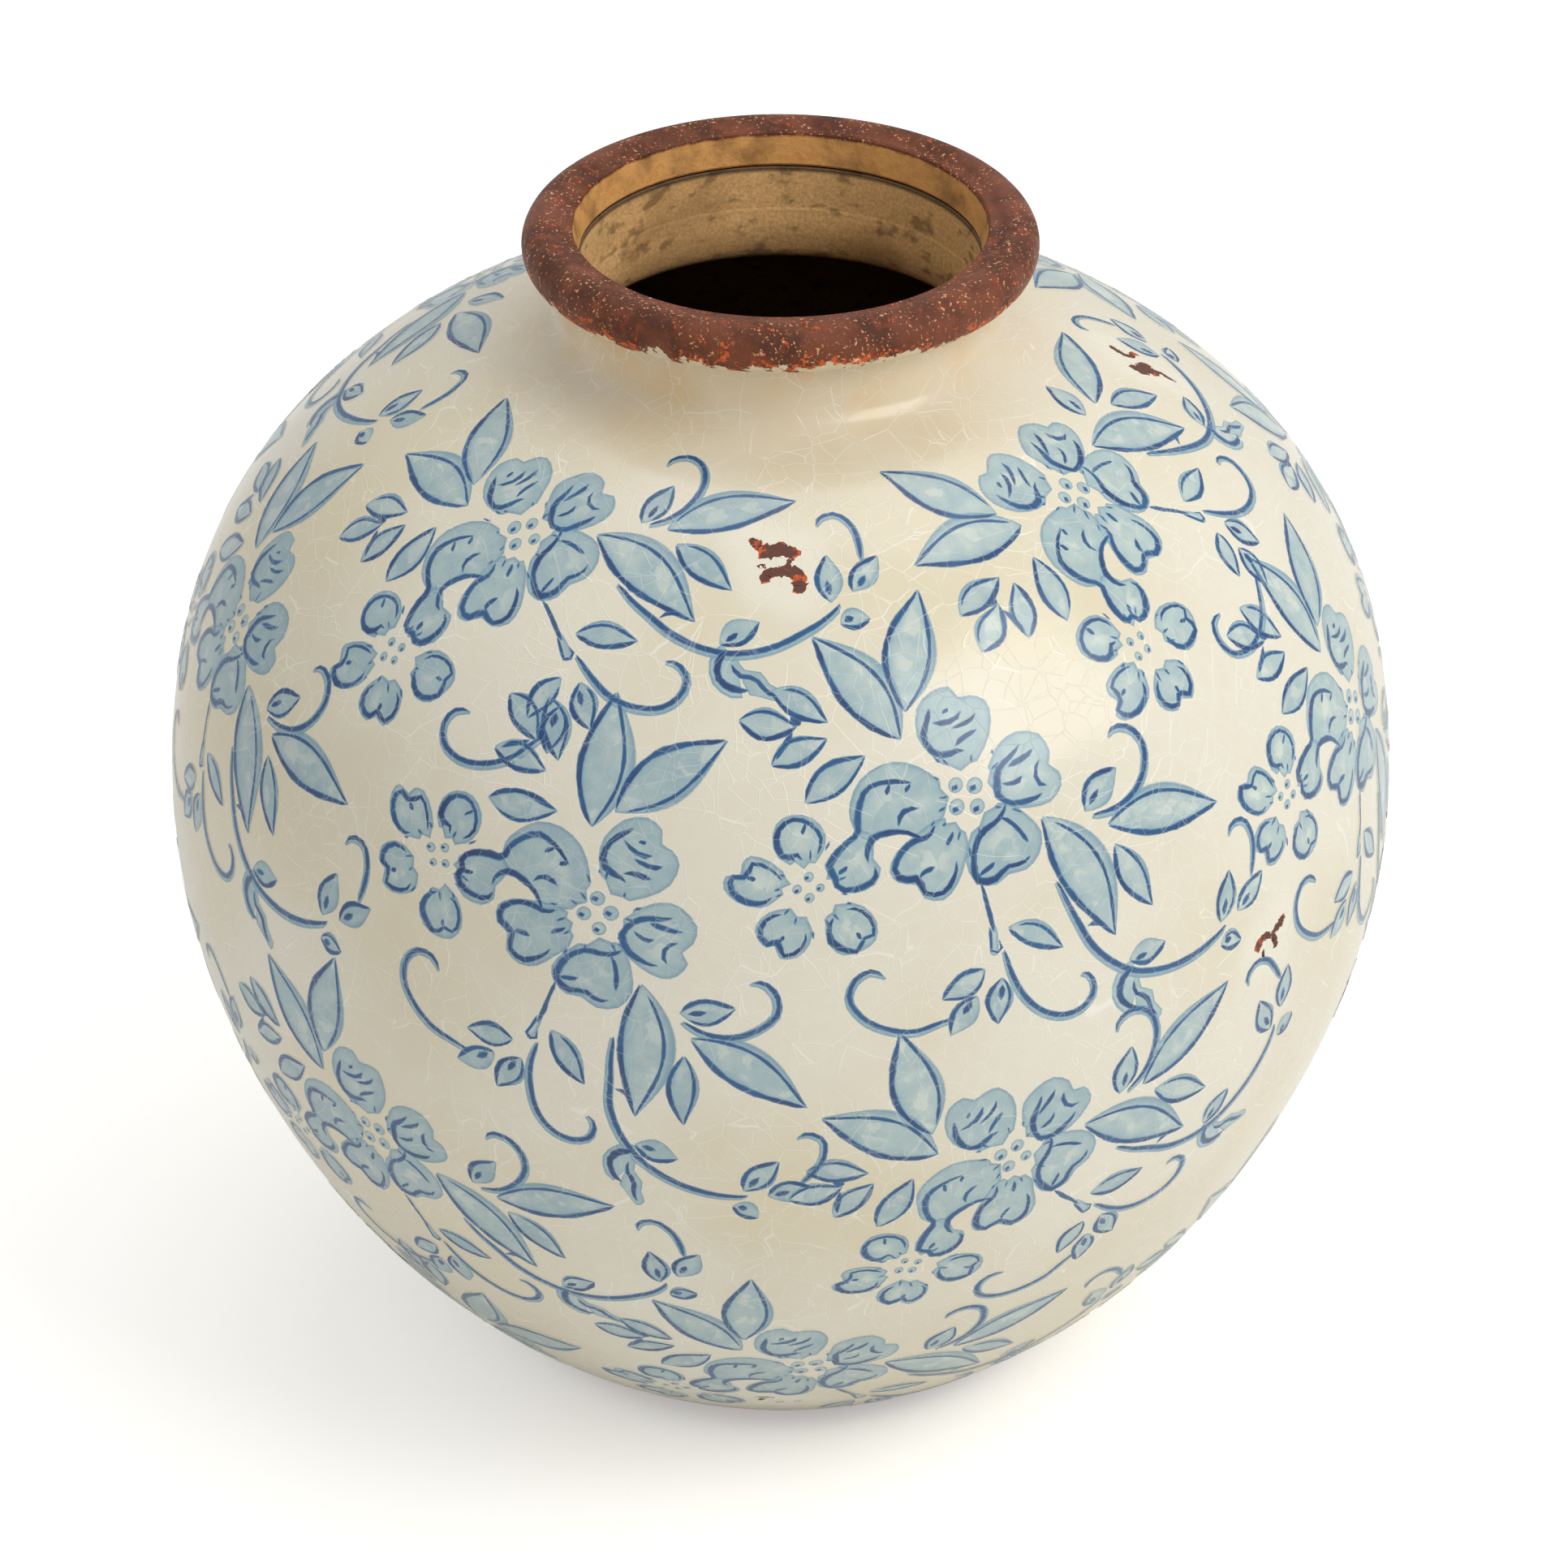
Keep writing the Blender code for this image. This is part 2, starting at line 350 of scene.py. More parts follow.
def makeCrackle():
    # two families of hairlines, long ones and short ones between them: the share is 1 on a line
    steps, given, out = newGroup("crackle")
    place = given["position"]
    warp = steps.add("TexNoise", {"Vector": place, "Scale": crackleForm["warpScale"], "Detail": 2.0})["Color"]
    nudge = steps.add("VectorMath", {0: warp, 1: (0.5, 0.5, 0.5)}, operation="SUBTRACT")[0]
    nudge = steps.add("VectorMath", {0: nudge, 1: (crackleForm["warp"],) * 3}, operation="MULTIPLY")[0]
    bent = steps.add("VectorMath", {0: nudge, 1: place}, operation="ADD")[0]
    fade = steps.add("TexNoise", {"Vector": place, "Scale": crackleForm["fadeScale"], "Detail": 1.0})["Fac"]
    found = []
    for scale, width, shown in crackleForm["families"]:
        cells = steps.add("TexVoronoi", {"Vector": bent, "Scale": scale}, feature="DISTANCE_TO_EDGE")
        line = steps.step(cells["Distance"], 0.0, width, 1.0, 0.0)
        found.append(steps.times(line, steps.step(fade, shown, shown + crackleForm["fadeSpan"])))
    steps.join(steps.maths("MAXIMUM", *found), out)
    return steps.tree


patches = makePatches()
specks = makeSpecks()
crackle = makeCrackle()


# finishes: every patch is noise given as its scale, its detail, the two levels it is cut between
# and sometimes its distortion, and every share says how strongly a coat is laid on

glazeLook = {
    "cream": linear(224, 219, 203),
    "warm": linear(216, 206, 178),
    "stain": linear(220, 188, 138),
    "whitish": linear(228, 224, 208),
    "hairline": linear(240, 237, 226),
    "speck": linear(120, 96, 60),
    "roughness": 0.2,
    "peel": (260.0, 3.0),  # fine orange peel, as scale and detail, over a slow unevenness
    "slow": (38.0, 2.0),
    "peelShare": 0.10,
    "lineRelief": 0.16,
    "relief": (0.55, 0.5 * mm),
    "warmPatches": (16.0, 3.0, 0.38, 0.72),
    "finePatches": (420.0, 3.0, 0.3, 0.8),
    "fineShare": 0.18,
    "neckHeights": (0.219, 0.236),  # the stain under the neck grows between these
    "dirtyPatches": (70.0, 5.0, 0.35, 0.75),
    "dirtyShare": 0.5,
    "stainShare": 0.45,
    "whitishShare": 0.85,
    "hairlineShare": 0.62,
    "specks": {"scale": 95.0, "size": 0.05, "held": 0.06},
    "speckShare": 0.7,
}


def glazeGloss(finish, hairlines):
    # the skin of glass: fine orange peel and the relief of the hairlines
    peel = finish.times(finish.noise(*glazeLook["peel"]), glazeLook["peelShare"])
    height = finish.plus(peel, finish.noise(*glazeLook["slow"]))
    height = finish.plus(height, finish.times(hairlines, glazeLook["lineRelief"]))
    finish.relief(height, *glazeLook["relief"])


def makeCreamGlaze():
    look = glazeLook
    finish = Finish("creamCrackleGlaze", look["cream"], look["roughness"])
    finish.coat(look["warm"], finish.patches(*look["warmPatches"]))
    finish.coat(look["warm"], finish.patches(*look["finePatches"]), look["fineShare"])
    nearNeck = finish.step(finish.along("Z"), *look["neckHeights"])
    dirty = finish.times(finish.patches(*look["dirtyPatches"]), look["dirtyShare"])
    finish.coat(look["stain"], nearNeck, finish.plus(dirty, look["stainShare"]))
    bare = finish.carried("nearChip")
    finish.coat(look["whitish"], bare, look["whitishShare"])
    hairlines = finish.use(crackle)
    calm = finish.minus(1.0, bare)
    finish.coat(look["hairline"], hairlines, finish.times(calm, look["hairlineShare"]))
    finish.coat(look["speck"], finish.use(specks, **look["specks"]), look["speckShare"])
    glazeGloss(finish, hairlines)
    return finish.done()


washLook = {
    "wash": linear(170, 192, 192),
    "deep": linear(98, 140, 166),
    "pale": linear(198, 211, 203),
    "frost": linear(216, 222, 210),
    "middle": (0.35, 1.0),  # the fill grows paler between these parts of the way in from its rim
    "pools": (95.0, 3.0, 0.36, 0.66, 0.6),
    "poolShare": 0.55,
    "paleShare": 0.25,
    "mottling": (330.0, 4.0, 0.3, 0.72),
    "mottlingShare": 0.3,
    "frosting": (210.0, 8.0, 0.53, 0.6, 0.3),
    "frostStep": (0.45, 0.9, 0.0, 0.62),
    "edgeStep": (0.1, 0.5, 1.0, 0.0),
    "edgeShare": 0.7,
    "toneShare": 0.45,
    "hairlineShare": 0.22,
    "cover": (0.0, 0.14, 0.0, 0.92),  # it fades out at its very edge
}


def makeWash():
    # the pale blue fill: deeper along its rim and mottled, with a paler middle
    look = washLook
    finish = Finish("blueWash", look["wash"], glazeLook["roughness"])
    rim, tone = finish.carried("rim"), finish.carried("tone")
    pooled = finish.times(finish.patches(*look["pools"]), look["poolShare"])
    finish.coat(look["pale"], finish.step(rim, *look["middle"]), finish.plus(pooled, look["paleShare"]))
    finish.coat(look["deep"], finish.patches(*look["mottling"]), look["mottlingShare"])
    finish.coat(look["frost"], finish.patches(*look["frosting"]), finish.step(rim, *look["frostStep"]))
    finish.coat(look["deep"], finish.step(rim, *look["edgeStep"]), look["edgeShare"])
    # tone carries random depth and, on the vase's left, painted shade
    finish.coat(look["deep"], tone, look["toneShare"])
    hairlines = finish.use(crackle)
    finish.coat(glazeLook["hairline"], hairlines, look["hairlineShare"])
    finish.join(finish.step(rim, *look["cover"]), finish.shader["Alpha"])
    glazeGloss(finish, hairlines)
    return finish.done()


lineLook = {
    "line": linear(38, 84, 132),
    "deep": linear(28, 52, 104),
    "edge": linear(90, 134, 168),
    "raggedness": (520.0, 3.0, 0.3, 0.7),
    "raggedShare": 0.16,
    "core": (0.25, 0.62),
    "flow": (140.0, 2.0, 0.35, 0.65),
    "hairlineShare": 0.2,
    "cover": (0.05, 0.42, 0.0, 0.96),
}


def makeLine():
    # the dark brush lines: a deep core with a softer blue edge that runs out into what is under it
    look = lineLook
    finish = Finish("blueLine", look["edge"], glazeLook["roughness"])
    uneven = finish.minus(finish.patches(*look["raggedness"]), 0.5)
    reach = finish.plus(finish.carried("rim"), finish.times(uneven, look["raggedShare"]))
    core = finish.step(reach, *look["core"])
    finish.coat(look["line"], core)
    finish.coat(look["deep"], core, finish.times(finish.patches(*look["flow"]), finish.carried("tone")))
    hairlines = finish.use(crackle)
    finish.coat(glazeLook["hairline"], hairlines, look["hairlineShare"])
    finish.join(finish.step(reach, *look["cover"]), finish.shader["Alpha"])
    glazeGloss(finish, hairlines)
    return finish.done()


clayLook = {
    "orange": linear(166, 66, 32),
    "fringe": linear(214, 92, 36),
    "burnt": linear(100, 58, 46),
    "brown": linear(92, 50, 38),
    "buff": linear(240, 194, 132),
    "dirt": linear(146, 106, 62),
    "ochre": linear(222, 164, 96),
    # a near-black for soot, grime and grain, and for the painted shade inside the vase
    "sootAndShade": linear(38, 28, 18),
    "roughness": 0.7,
    "skin": (210.0, 6.0, 0.43, 0.5, 0.8),
    "grain": (1500.0, 2.0, 0.25, 0.8),
    "grainShare": 0.35,
    "relief": (0.5, 0.3 * mm),
}


def makeClay():
    # bare clay, which shows on the foot: orange under a thin dark brown skin
    look = clayLook
    finish = Finish("bareClay", look["orange"], look["roughness"])
    finish.coat(look["brown"], finish.patches(*look["skin"]))
    grain = finish.patches(*look["grain"])
    finish.coat(look["sootAndShade"], grain, look["grainShare"])
    finish.relief(grain, *look["relief"])
    return finish.done()


insideLook = {
    "roughness": 0.62,
    "smear": (1.0, 1.0, 1.6),  # the dirt is drawn out round the wall by this
    "dirt": (45.0, 9.0, 0.42, 0.78, 0.2),
    "dirtShare": 0.7,
    "grime": (190.0, 8.0, 0.54, 0.66),
    "grimeShare": 0.55,
    "grain": (1600.0, 2.0, 0.3, 0.7),
    "grainShare": 0.4,
    "shadeDepths": (0.232, 0.212, 0.0, 0.76),  # painted shade, as light fails deeper in: it darkens between these heights, so far
    "seam": (1.6 * mm, 0.5 * mm),  # the dark joint under the lip, partly painted shadow of the lip's step, starts and is full this far below it
    "seamShadowShare": 0.85,
    "noise": (90.0, 5.0),
    "relief": (0.5, 1.0 * mm),
}


def makeInside():
    # the inside: buff slip gone brown with age, smeared round with the throwing, with painted shade that
    # darkens it further down and at the joint under the lip
    look = insideLook
    finish = Finish("buffInside", clayLook["buff"], look["roughness"])
    smeared = finish.add("Mapping", {"Vector": finish.position, "Scale": look["smear"]})[0]
    finish.coat(clayLook["dirt"], finish.patches(*look["dirt"], position=smeared), look["dirtShare"])
    finish.coat(clayLook["sootAndShade"], finish.patches(*look["grime"], position=smeared), look["grimeShare"])
    finish.coat(clayLook["dirt"], finish.patches(*look["grain"]), look["grainShare"])
    height = finish.along("Z")
    # painted shade: the inside grows darker further down, where little light reaches
    finish.coat(clayLook["sootAndShade"], finish.step(height, *look["shadeDepths"]))
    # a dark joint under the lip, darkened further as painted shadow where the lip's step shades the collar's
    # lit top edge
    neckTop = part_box("neck_collar")[1][2]
    low, high = (neckTop - below for below in look["seam"])
    finish.coat(clayLook["sootAndShade"], finish.step(height, low, high), look["seamShadowShare"])
    finish.relief(finish.noise(*look["noise"], place=smeared), *look["relief"])
    return finish.done()


lipLook = {
    "brown": linear(116, 61, 36),
    "umber": linear(82, 42, 24),
    "scuff": linear(206, 92, 44),
    "rust": linear(136, 66, 36),
    "fleck": linear(232, 172, 126),
    "creamEdge": linear(222, 208, 176),
    "shine": 0.3,
    "clouds": (130.0, 6.0, 0.36, 0.68),
    "rusting": (420.0, 7.0, 0.5, 0.72),
    "rustShare": 0.8,
    "torn": (520.0, 9.0, 0.7),
    "zones": (70.0, 2.0),
    "zoneShare": 0.16,
    "lowerHalf": (0.2464, 0.2420, 0.0, 0.115),  # scuffed more from the first height down to the second
    "scuffing": (0.698, 0.722),
    "flecks": (1500.0, 3.0, 0.615, 0.66),
    "fleckZones": (120.0, 3.0, 0.34, 0.56),
    "fleckShare": 0.85,
    "ragged": (170.0, 8.0, 0.7),
    "edgeHeight": 0.2416,  # where the glaze laps up onto the lip's underside
    "edgeSoft": 0.25 * mm,
    "edgeWander": 22 * mm,
    "bandHeight": 0.2477,  # the ochre band inside the mouth lies below this, and within the next
    "bandRadius": 0.0445,
    "bandSoft": (0.4 * mm, -0.3 * mm),
    "bandWander": 1.6 * mm,
    "tarnish": (170.0, 8.0, 0.4, 0.8),
    "roughness": 0.44,
    "cloudRoughness": 0.16,
    "scuffRoughness": 0.25,
    "glazeRoughness": 0.15,
    "grain": (700.0, 4.0),
    "grainRelief": 0.35,
    "scuffRelief": 0.35,
    "relief": (0.6, 0.7 * mm),
}


def makeLip():
    # worn brown slip over orange clay, with an ochre band inside the mouth and the glaze's ragged edge below
    look = lipLook
    finish = Finish("brownSlip", look["brown"], look["roughness"])
    finish.join(look["shine"], finish.shader["Specular IOR Level"])
    height = finish.along("Z")
    squares = [finish.maths("POWER", finish.along(axis), 2.0) for axis in "XY"]
    across = finish.maths("SQRT", finish.plus(*squares))
    cloudy = finish.patches(*look["clouds"])
    finish.coat(look["umber"], cloudy)
    finish.coat(look["rust"], finish.patches(*look["rusting"]), look["rustShare"])

    torn = finish.noise(*look["torn"])
    zones = finish.times(finish.noise(*look["zones"]), look["zoneShare"])
    wear = finish.plus(finish.plus(torn, finish.step(height, *look["lowerHalf"])), zones)
    scuffed = finish.step(wear, *look["scuffing"])
    finish.coat(look["scuff"], scuffed)
    patchy = finish.times(finish.patches(*look["fleckZones"]), look["fleckShare"])
    finish.coat(look["fleck"], finish.patches(*look["flecks"]), patchy)

    ragged = finish.minus(finish.noise(*look["ragged"]), 0.5)
    lap = finish.plus(height, finish.times(ragged, look["edgeWander"]))
    glazed = finish.step(lap, look["edgeHeight"] + look["edgeSoft"], look["edgeHeight"])
    finish.coat(look["creamEdge"], glazed)
    drop = finish.plus(height, finish.times(ragged, look["bandWander"]))
    inside = finish.step(drop, *(look["bandHeight"] + soft for soft in look["bandSoft"]))
    inside = finish.times(inside, finish.maths("LESS_THAN", across, look["bandRadius"]))
    slipped, finish.colour = finish.colour, clayLook["ochre"]
    finish.coat(clayLook["dirt"], finish.patches(*look["tarnish"]))
    ochre, finish.colour = finish.colour, slipped
    finish.coat(ochre, inside)

    rough = finish.plus(finish.times(cloudy, look["cloudRoughness"]), look["roughness"])
    rough = finish.plus(rough, finish.times(scuffed, look["scuffRoughness"]))
    rough = finish.minus(rough, finish.times(glazed, look["glazeRoughness"]))
    finish.join(rough, finish.shader["Roughness"])
    relief = finish.plus(finish.times(finish.noise(*look["grain"]), look["grainRelief"]), torn)
    relief = finish.minus(relief, finish.times(scuffed, look["scuffRelief"]))
    finish.relief(relief, *look["relief"])
    return finish.done()


chipClayLook = {
    "roughness": 0.65,
    "torn": (900.0, 6.0, 0.75),
    "zones": (300.0, 3.0),
    "rimShare": 0.3,
    "tornShare": 0.5,
    "burning": (0.89, 0.95),
    "grain": (1900.0, 2.0, 0.3, 0.75),
    "grainShare": 0.3,
    "relief": (0.6, 0.6 * mm),
}


def makeChipClay():
    # the clay in the chips: dark and burnt, with an orange fringe along the broken glaze
    look = chipClayLook
    finish = Finish("chippedClay", clayLook["fringe"], look["roughness"])
    torn = finish.noise(*look["torn"])
    inward = finish.times(finish.carried("rim"), look["rimShare"])
    burnt = finish.plus(inward, finish.times(torn, look["tornShare"]))
    burnt = finish.step(finish.plus(burnt, finish.noise(*look["zones"])), *look["burning"])
    finish.coat(clayLook["burnt"], burnt)
    finish.coat(clayLook["brown"], finish.patches(*look["grain"]), look["grainShare"])
    finish.relief(torn, *look["relief"])
    return finish.done()


creamGlaze = makeCreamGlaze()
blueWash = makeWash()
blueLine = makeLine()
bareClay = makeClay()
chippedClay = makeChipClay()
buffInside = makeInside()
brownSlip = makeLip()
print("finishes made")


# thrown pieces


def facesInwards(face):
    # true on the walls that look at the vase's middle, and on the floor
    centre = face.calc_center_median()
    outward = Vector((centre.x, centre.y, 0))
    onFloor = centre.z < vaseForm["floorTop"] and face.normal.z > 0.5
    return centre.z > vaseForm["underside"] and (face.normal.dot(outward) < 0 or onFloor)


skinStep, innerStep, smallStep = vaseForm["skinStep"], vaseForm["innerStep"], vaseForm["smallStep"]
inAndOut = [bareClay, buffInside]
thrown("footRing", "foot_ring", [bareClay], smallStep)
thrown("lowerBowl", "lower_bowl", inAndOut, innerStep, facesInwards)
thrown("upperBowl", "upper_bowl", inAndOut, innerStep, facesInwards)
thrown("neckCollar", "neck_collar", inAndOut, smallStep, facesInwards)
thrown("lipRing", "lip_ring", [brownSlip], vaseForm["lipStep"])
glazeCoat = thrown("glazeCoat", "glaze_coat", [creamGlaze], skinStep)


slipBand = {
    "below": 2.2 * mm,  # how far it is smeared below and above the joint under the neck
    "above": 1.8 * mm,
    "stand": 0.012 * mm,
    "root": 0.5 * mm,  # how deep it sits in the wall
}


def smearSlip():
    # a thin band of slip wiped over the joint between neck and bowl on the inside
    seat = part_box("neck_collar")[0][2]
    bore = min(point.x for point in outlineOf("neck_collar")[0])
    low, high = seat - slipBand["below"], seat + slipBand["above"]
    root, face = bore + slipBand["root"], bore - slipBand["stand"]
    section = [(root, low), (face, (low + seat) / 2), (face, seat), (face, (high + seat) / 2), (root, high)]
    finished("insideSlip", spun("insideSlip", section, True), [buffInside])


smearSlip()
print("thrown pieces made")


# the skin as a map, for everything that is painted on it

skin = {
    "latitudes": np.linspace(-62, 68, 521),  # seen from the belly's centre
    "outlineStep": 1.0 * mm,
    "wrapRadius": 120.0,  # millimetres, the ball that flat motifs are bent over
}


def reachOf(latitudes):
    # distance from the belly's centre out to the glaze's outside, at each latitude
    points = finerOutline(*outlineOf("glaze_coat"), skin["outlineStep"])
    place = np.array([(point.x, point.y - bellyHeight) for point in points])
    after = np.roll(place, -1, axis=0)
    low, high = (np.arctan2(ends[:, 1], ends[:, 0]) for ends in (place, after))
    reach = []
    for latitude in np.radians(latitudes):
        crossed = (np.minimum(low, high) <= latitude) & (latitude < np.maximum(low, high))
        start, run = place[crossed], (after - place)[crossed]
        span = math.cos(latitude) * run[:, 1] - math.sin(latitude) * run[:, 0]
        reach.append(max((start[:, 0] * run[:, 1] - start[:, 1] * run[:, 0]) / span))
    return np.array(reach)


bellyHeight = max(outlineOf("glaze_coat")[0], key=lambda point: point.x).y
skin["reach"] = reachOf(skin["latitudes"])


def onSkin(directions, lift):
    # places on the glaze in these directions from the belly's centre, raised by lift metres
    latitude = np.degrees(np.arctan2(directions[:, 2], np.hypot(directions[:, 0], directions[:, 1])))
    reach = np.interp(latitude, skin["latitudes"], skin["reach"])
    places = directions * reach[:, None] + np.array([0, 0, bellyHeight])
    return handThrown(places) + directions * np.asarray(lift)[:, None]


def bentOver(flat, azimuth, latitude, turn):
    # directions for flat millimetre places round a point of the ball, turned about it
    a, b, t = (math.radians(angle) for angle in (azimuth, latitude, turn))
    centre = np.array([math.cos(b) * math.sin(a), -math.cos(b) * math.cos(a), math.sin(b)])
    east = np.array([math.cos(a), math.sin(a), 0])
    north = np.array([-math.sin(b) * math.sin(a), math.sin(b) * math.cos(a), math.cos(b)])
    across, up = east * math.cos(t) + north * math.sin(t), north * math.cos(t) - east * math.sin(t)
    length = np.maximum(np.hypot(flat[:, 0], flat[:, 1]), 1e-9)
    arc = length / skin["wrapRadius"]
    bend = np.sin(arc) / length
    return (
        np.cos(arc)[:, None] * centre
        + (flat[:, 0] * bend)[:, None] * across
        + (flat[:, 1] * bend)[:, None] * up
    )


# painted motifs, drawn flat in millimetres

brush = {
    "step": 1.6,  # length of one stretch of a stroke
    "fillLift": 0.11,  # millimetres above the glaze, so that a flat stretch doesn't dip into it
    "lineLift": 0.16,
    "stagger": 0.0012,  # each motif lies this much higher than the last, over this many levels
    "levels": 17,
    "sink": 0.10,
    "slip": (0.15, 1.0),  # the fills sit a little off the lines, as in a quick two-colour print
    "heavySide": math.radians(245),  # lines are heaviest where they face this way
    "leftShade": 0.55,  # painted shade: how much darker the paint is on the vase's left, away from the light, than on its right
    "feather": 0.5,  # a ribbon is wider than its line by this much, as its sides fade out
    "firstDraw": 40,  # the first spray's random numbers
}


def throughPoints(points, count):
    # a smooth path through given points, as count + 1 places
    pts = np.array(points, float)
    if len(pts) == 2:
        return np.array([pts[0] + (pts[1] - pts[0]) * i / count for i in range(count + 1)])
    at = np.concatenate([[0], np.cumsum(np.hypot(*np.diff(pts, axis=0).T))])
    slope = np.gradient(pts, at, axis=0, edge_order=2)
    path = []
    for s in np.linspace(0, at[-1], count + 1):
        i = min(int(np.searchsorted(at, s, side="right")) - 1, len(pts) - 2)
        span = at[i + 1] - at[i]
        path.append(curveAt((s - at[i]) / span, pts[i], span * slope[i], pts[i + 1], span * slope[i + 1]))
    return np.array(path)


class Sheet:
    # one flat sheet of motifs in a bmesh, with the rim and tone that the paint's shader reads

    def __init__(self, lift, sink):
        self.shape = bmesh.new()
        self.rim = self.shape.verts.layers.float.new("rim")
        self.tone = self.shape.verts.layers.float.new("tone")
        self.lift, self.sink = lift, sink
        self.count = 0

    def nextLift(self):
        self.count += 1
        return self.lift + brush["stagger"] * (self.count % brush["levels"])

    def stroke(self, path, widths, tone, lanes=(-1, 0, 1), rims=(0, 1, 0)):
        # a ribbon with a keel below: rim is 0 at both sides and at the tips, and 1 along the middle
        count, across, lift = len(path) - 1, len(lanes) + 1, self.nextLift()
        made = bmesh.ops.create_grid(self.shape, x_segments=count, y_segments=across, size=1.0)["verts"]
        heading = np.gradient(path, axis=0)
        heading /= np.maximum(np.hypot(heading[:, 0], heading[:, 1]), 1e-9)[:, None]
        keel, tips = [], ([], [])
        for vert in made:
            i, lane = round((vert.co.x + 1) / 2 * count), round((vert.co.y + 1) / 2 * across)
            onTop = 0 < lane < across
            reach = lanes[lane - 1] * widths[i] / 2 if onTop else 0.0
            x, y = path[i][0] - heading[i][1] * reach, path[i][1] + heading[i][0] * reach
            vert.co = (x, y, lift if onTop else -self.sink)
            vert[self.rim] = rims[lane - 1] if onTop and 0 < i < count else 0.0
            vert[self.tone] = tone
            if not onTop:
                keel.append(vert)
            if i in (0, count):
                tips[i > 0].append(vert)
        bmesh.ops.remove_doubles(self.shape, verts=keel, dist=1e-5)
        for tip in tips:
            bmesh.ops.contextual_create(self.shape, geom=[vert for vert in tip if vert.is_valid])

    def patch(self, outline, tone, depth=0.9, rim=0.42):
        # a filled shape with a wall below it: rim grows from 0 at the edge to 1 in the middle
        lift = self.nextLift()
        base = bmesh.ops.create_circle(self.shape, cap_ends=True, segments=len(outline), radius=1.0)["verts"]
        for vert, place in zip(base, outline):
            vert.co = (*place, -self.sink)
        face = base[0].link_faces[0]
        face.normal_update()
        raised = bmesh.ops.extrude_face_region(self.shape, geom=[face], use_keep_orig=True)["geom"]
        top = next(item for item in raised if isinstance(item, bmesh.types.BMFace))
        edge = list(top.verts)
        for vert in edge:
            vert.co.z = lift
        top.normal_update()
        bmesh.ops.inset_individual(self.shape, faces=[top], thickness=depth)
        inner = list(top.verts)
        for vert in inner:
            vert[self.rim] = rim
        middle = bmesh.ops.poke(self.shape, faces=[top])["verts"]
        middle[0][self.rim] = 1.0
        for vert in base + edge + inner + middle:
            vert[self.tone] = tone


def volumeOf(island):
    # six times the volume that the faces of one closed island enclose, and negative if they look inwards
    origin = island[0].verts[0].co
    volume = 0.0
    for face in island:
        first, *others = [vert.co - origin for vert in face.verts]
        volume += sum(first.dot(b.cross(c)) for b, c in zip(others, others[1:]))
    return volume


def turnOutward(shape):
    # makes the faces of every closed island in a bmesh look outwards
    bmesh.ops.recalc_face_normals(shape, faces=shape.faces)
    seen, turned = set(), []
    for start in shape.faces:
        if start in seen:
            continue
        seen.add(start)
        island, waiting = [], [start]
        while waiting:
            face = waiting.pop()
            island.append(face)
            beside = {other for edge in face.edges for other in edge.link_faces} - seen
            seen |= beside
            waiting.extend(beside)
        if volumeOf(island) < 0:
            turned += island
    bmesh.ops.reverse_faces(shape, faces=turned)


def strokeWidths(count, width, heads=0.12, tails=0.12, least=0.25):
    # full in the middle and drawn out to fine tips
    s = np.linspace(0, 1, count + 1)
    swell = np.clip(np.minimum(s / heads, (1 - s) / tails), 0, 1)
    return width * (least + (1 - least) * np.sin(swell * math.pi / 2))


def segmentsFor(points):
    length = sum(math.dist(a, b) for a, b in zip(points, points[1:]))
    return max(4, round(length / brush["step"]))


def jittered(points, draw, amount):
    return [(x + draw.uniform(-amount, amount), y + draw.uniform(-amount, amount)) for x, y in points]


def wavered(widths, draw, share, pace):
    # a hand presses unevenly: the width comes and goes by this share
    return widths * (1 + share * np.sin(np.arange(len(widths)) * pace + draw.uniform(0, 6)))


def paintLine(sheets, points, width, draw, deep, heads, tails):
    points = jittered(points, draw, 0.12)
    count = segmentsFor(points)
    path = throughPoints(points, count)
    widths = strokeWidths(count, width, heads, tails) + brush["feather"]
    sheets["line"].stroke(path, wavered(widths, draw, 0.12, 1.1), deep)


def paintTendril(sheets, points, width, draw):
    # a curling line with its soft shadow of wash beside it
    points = jittered(points, draw, 0.15)
    count = segmentsFor(points)
    path = throughPoints(points, count)
    widths = strokeWidths(count, 0.85 * width, 0.3, 0.22, 0.2)
    sheets["line"].stroke(path, widths + brush["feather"], 0.35)
    beside = path + np.array(brush["slip"]) * np.array([1.6, -0.35])
    sheets["wash"].stroke(beside, widths * 1.2 + 1.0, 0.5, rims=(0, 0.5, 0))


def loopThrough(points, count):
    # a smooth closed path through given points
    pts = np.array(points, float)
    slope = (np.roll(pts, -1, axis=0) - np.roll(pts, 1, axis=0)) / 2
    path = []
    for s in np.linspace(0, len(pts), count, endpoint=False):
        i, t = int(s), s - int(s)
        j = (i + 1) % len(pts)
        path.append(curveAt(t, pts[i], slope[i], pts[j], slope[j]))
    return np.array(path)


